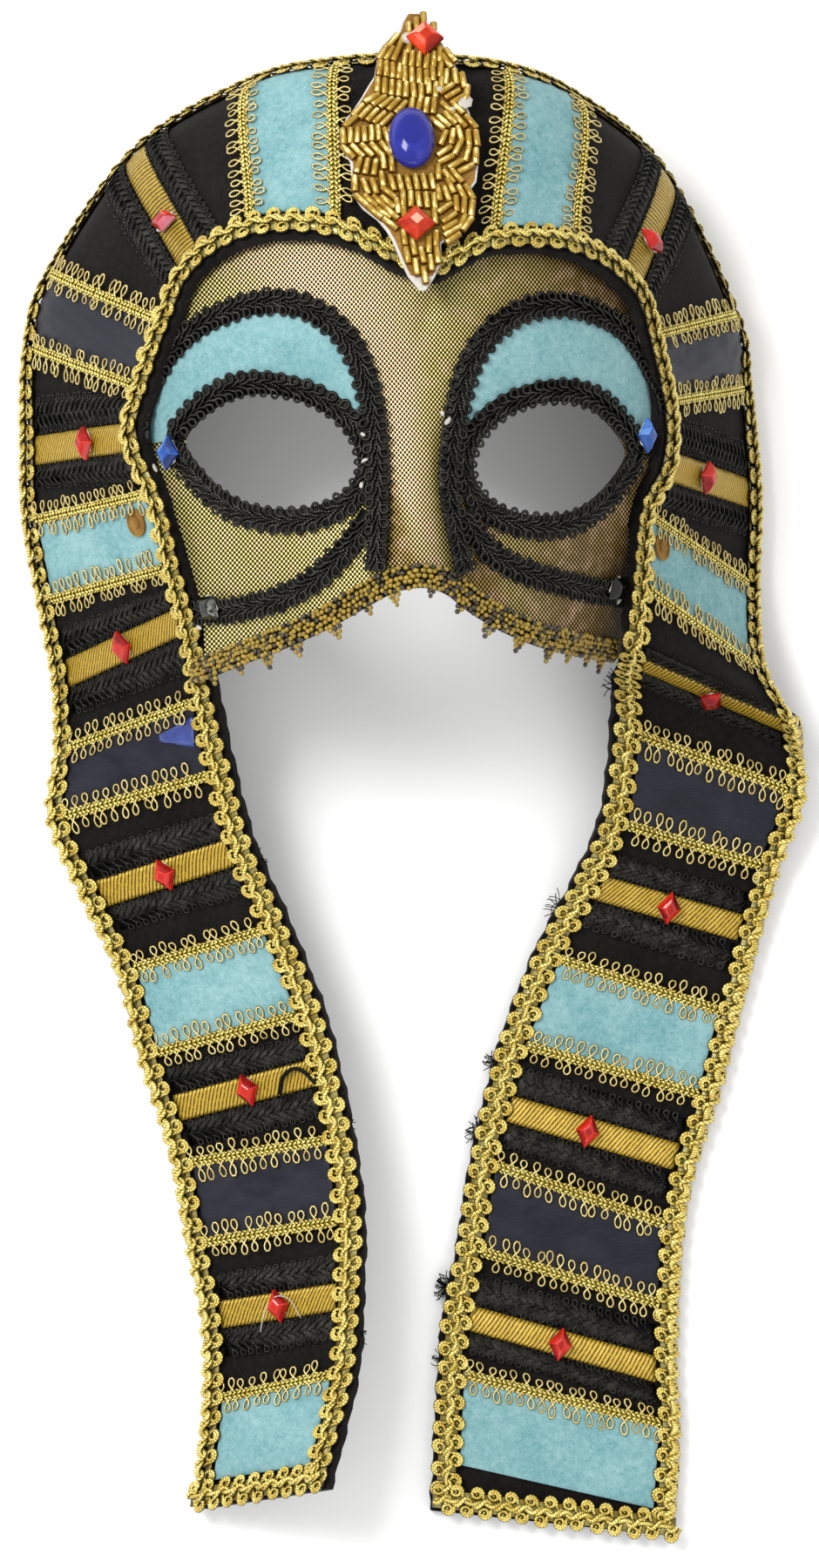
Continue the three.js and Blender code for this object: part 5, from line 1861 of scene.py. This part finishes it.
def ornament_bits():
    """Clear bead, clear disc and glue that show among the ornament's beads."""
    for name, x, y, size in (
        ("clear_bead", -2.6, 10.6, (1.6, 1.6, 1.1)), ("clear_disc", 11.0, -6.6, (1.9, 2.1, 0.5)),
        ("glue_among_beads_1", 4.9, -3.6, (1.1, 0.9, 0.8)),
        ("glue_among_beads_2", 7.9, -9.0, (0.9, 0.6, 0.8)),
    ):
        blob = glue_blob(*size)
        move_points(blob, points_of(blob) + np.array([x, y, PAD_LOW + 1.2]))
        place_on_crest(blob)
        finish_piece(blob, name, "glue")


# Loose threads and small glue spots

def thread_tuft(name, seat, count, reach, seed):
    """A few frayed black threads sticking out of the felt's edge."""
    steps = 8
    rng = random.Random(seed)
    spot, across, up = seat
    along = np.cross(up, across)
    parts = []
    for _ in range(count):
        heading = rng.uniform(-0.9, 0.9)
        curl = rng.uniform(-1.4, 1.4)
        line, point = [], np.array([rng.uniform(-1.5, 1.5), -0.5, rng.uniform(-0.3, 0.3)])
        for _ in range(steps):
            line.append(point.copy())
            way = np.array([math.sin(heading), math.cos(heading), rng.uniform(-0.1, 0.12)])
            point = point + way * reach / steps
            heading += curl / steps + rng.uniform(-0.35, 0.35)
        solid = [spot + along * p[0] + across * p[1] + up * p[2] for p in line]
        parts.append(cord(solid, 0.22, wrap=0.6))
    piece = joined(name, parts)
    place_in_frame(piece, points_of(piece))
    finish_piece(piece, name, "black_gimp")


def laid_thread(name, spots, count, lift, thickness, finish, sides=4):
    """A thread over the headdress, through places given as stations and distances."""
    stations, distances = seam_curve(spots, np.linspace(0, 1, count), straight_ends=False).T
    piece = cord(band_points(stations, distances, lift), thickness, wrap=0.6, sides=sides)
    place_in_frame(piece, points_of(piece))
    finish_piece(piece, name, finish)


# Frayed threads along the inner edge: station, reach and how many
FRAYED = [
    (-12.2, 3.2, 9), (-15.8, 2.6, 7), (-18.6, 3.2, 8), (9.4, 4.6, 14), (12.4, 5.0, 12),
    (14.3, 4.2, 14), (15.6, 4.2, 18), (17.6, 4.8, 34), (18.9, 3.2, 9),
]
CURLED = [
    (-15.2, 31.7), (-15.1, 32.6), (-15.0, 33.4), (-14.92, 34.6), (-14.87, 36.2), (-14.86, 37.6),
    (-14.9, 39.0), (-14.98, 40.2), (-15.08, 41.1), (-15.18, 42.0),
]
GLUE_STRAND = [
    (-18.3, 14.5), (-18.1, 16.4), (-17.95, 18.7), (-17.87, 21.2), (-17.95, 24.2), (-18.2, 26),
]


def loose_threads():
    for number, (station, reach, count) in enumerate(FRAYED, 1):
        edge = float(felt_edge(np.array([float(station)]))[0])
        seat = band_seat(station, edge - 0.4, 1.6)
        thread_tuft(f"frayed_thread_{number}", seat, count, reach, number)
    laid_thread(
        "curled_thread", CURLED, 28, SURFACE + 1.9, 1.1, "black_gimp", sides=6
    )
    lift = 3.6 + 2.6 * np.sin(np.linspace(0, math.pi, 24))
    laid_thread("glue_thread", GLUE_STRAND, 24, lift, 0.3, "glue")


def glue_spots():
    """Small smears of clear glue where the trims were stuck down."""
    places = [
        (6.4, 85.8, 1.3, 0.6), (5.2, 87.6, 0.7, 0.5), (-12.2, 82.3, 0.7, 0.5),
        (-11.7, 75.9, 1.0, 0.45), (-12.4, 70.0, 0.8, 0.5), (-59.6, 74.6, 1.2, 0.5),
        (-47.6, 36.2, 1.1, 0.5), (52.4, 45.6, 1.2, 0.5),
    ]
    for number, (x, y, length, width) in enumerate(places, 1):
        blob = glue_blob(length, width, 0.45)
        stand_on(blob, *mask_seat(x, y, 2.3), 0.9 * number)
        finish_piece(blob, f"glue_smear_{number}", "glue")


def satin_sheen_wedge():
    """A wedge of bright blue satin at the end of a navy panel, standing for the blue sheen of
    light on the navy satin there: a painted highlight.
    """
    stations, distances = (-10.26, -10.17, -10.58, -10.36), (32.5, 43.4, 42.8, 32.5)

    def place(u, v, top):
        corner = [(1 - u) * (1 - v), u * (1 - v), u * v, (1 - u) * v]
        station = sum(weight * value for weight, value in zip(corner, stations))
        distance = sum(weight * value for weight, value in zip(corner, distances))
        return band_points(station, distance, SURFACE + PANEL_THICK + np.where(top, 0.35, 0.02))

    finish_piece(draped_block(10, 4, place), "blue_sheen_wedge", "blue_satin_sheen")


UNITS = {
    "coil_pair": coil_pair(SCROLL_PITCH, 2.28),
    "hem_coils": coil_pair(HEM_PITCH, 2.08),
    "gimp": gimp_leaves(STRIPE_WIDTH / 2, GIMP_PITCH, 0.42),
    "eye_gimp": gimp_leaves(EYE_GIMP / 2 + 0.2, EYE_GIMP_PITCH, 0.82),
    "wire_loops": wire_loops(),
    "knit_stitches": knit_stitches(),
}

headdress_felt()
for side, sign in SIDES:
    for index in range(len(PANEL_STATIONS)):
        colour_panel(side, sign, index)
    for number in range(1, len(RIBBON_STATIONS) + 1):
        ribbon_stripe(side, sign, number)
    cross_trims(side, sign)
border_braids()
half_mask()
for side, sign in SIDES:
    eyelid_cloth(side, sign)
    eye_gimps(side, sign)
    ribbon_stones(side, sign)
    mask_stones(side, sign)
    strap_rivet(side, sign)
bead_trim()
crest_ornament()
ornament_bits()
loose_threads()
glue_spots()
satin_sheen_wedge()
put_away(*UNITS.values())


# Floor, light and camera

bpy.ops.mesh.primitive_plane_add(size=6, location=(0, 0, -0.0003))
floor = bpy.context.object
floor.name = "floor"
pale = bpy.data.materials.new("pale_floor")
pale.use_nodes = True
shader = pale.node_tree.nodes["Principled BSDF"]
shader.inputs["Base Color"].default_value = (0.95, 0.95, 0.945, 1)
shader.inputs["Roughness"].default_value = 0.9
floor.data.materials.append(pale)

world = bpy.data.worlds.new("studio")
world.use_nodes = True
sky = world.node_tree.nodes["Background"]
sky.inputs["Color"].default_value = (1, 1, 1, 1)
sky.inputs["Strength"].default_value = 0.8
bpy.context.scene.world = world


def softbox(name, place, width, height, power):
    bpy.ops.object.light_add(type="AREA", location=place)
    lamp = bpy.context.object
    lamp.name = name
    lamp.data.shape = "RECTANGLE"
    lamp.data.size = width
    lamp.data.size_y = height
    lamp.data.energy = power
    aim = Vector((0, 0.02, 0.05)) - Vector(place)
    lamp.rotation_euler = aim.to_track_quat("-Z", "Y").to_euler()


softbox("key", (-0.85, 0.6, 1.3), 0.6, 0.6, 20)
softbox("fill", (0.95, -0.1, 1.2), 0.8, 1.0, 1.5)
softbox("front", (0.1, -1.2, 1.0), 1.2, 0.6, 4)

# The camera looks down from a little to the left, turned slightly, over a width in millimetres
lean, roll = math.radians(5.2), math.radians(1.2)
distance, view_width = 2000, 387
target = Vector((-0.003275, 0.00132, 0.040))
back = Vector((-math.sin(lean), 0, math.cos(lean)))
level = Vector((math.cos(lean), 0, math.sin(lean)))
north = Vector((0, 1, 0))
right = level * math.cos(roll) + north * math.sin(roll)
upward = north * math.cos(roll) - level * math.sin(roll)
camera_data = bpy.data.cameras.new("camera")
camera_data.sensor_width = 36
camera_data.lens = camera_data.sensor_width * distance / view_width
camera_data.clip_end = 50
camera = bpy.data.objects.new("camera", camera_data)
bpy.context.scene.collection.objects.link(camera)
turned = Matrix((right, upward, back)).transposed().to_4x4()
camera.matrix_world = Matrix.Translation(target + back * distance * MM) @ turned
bpy.context.scene.camera = camera
bpy.context.scene.view_settings.view_transform = "Standard"
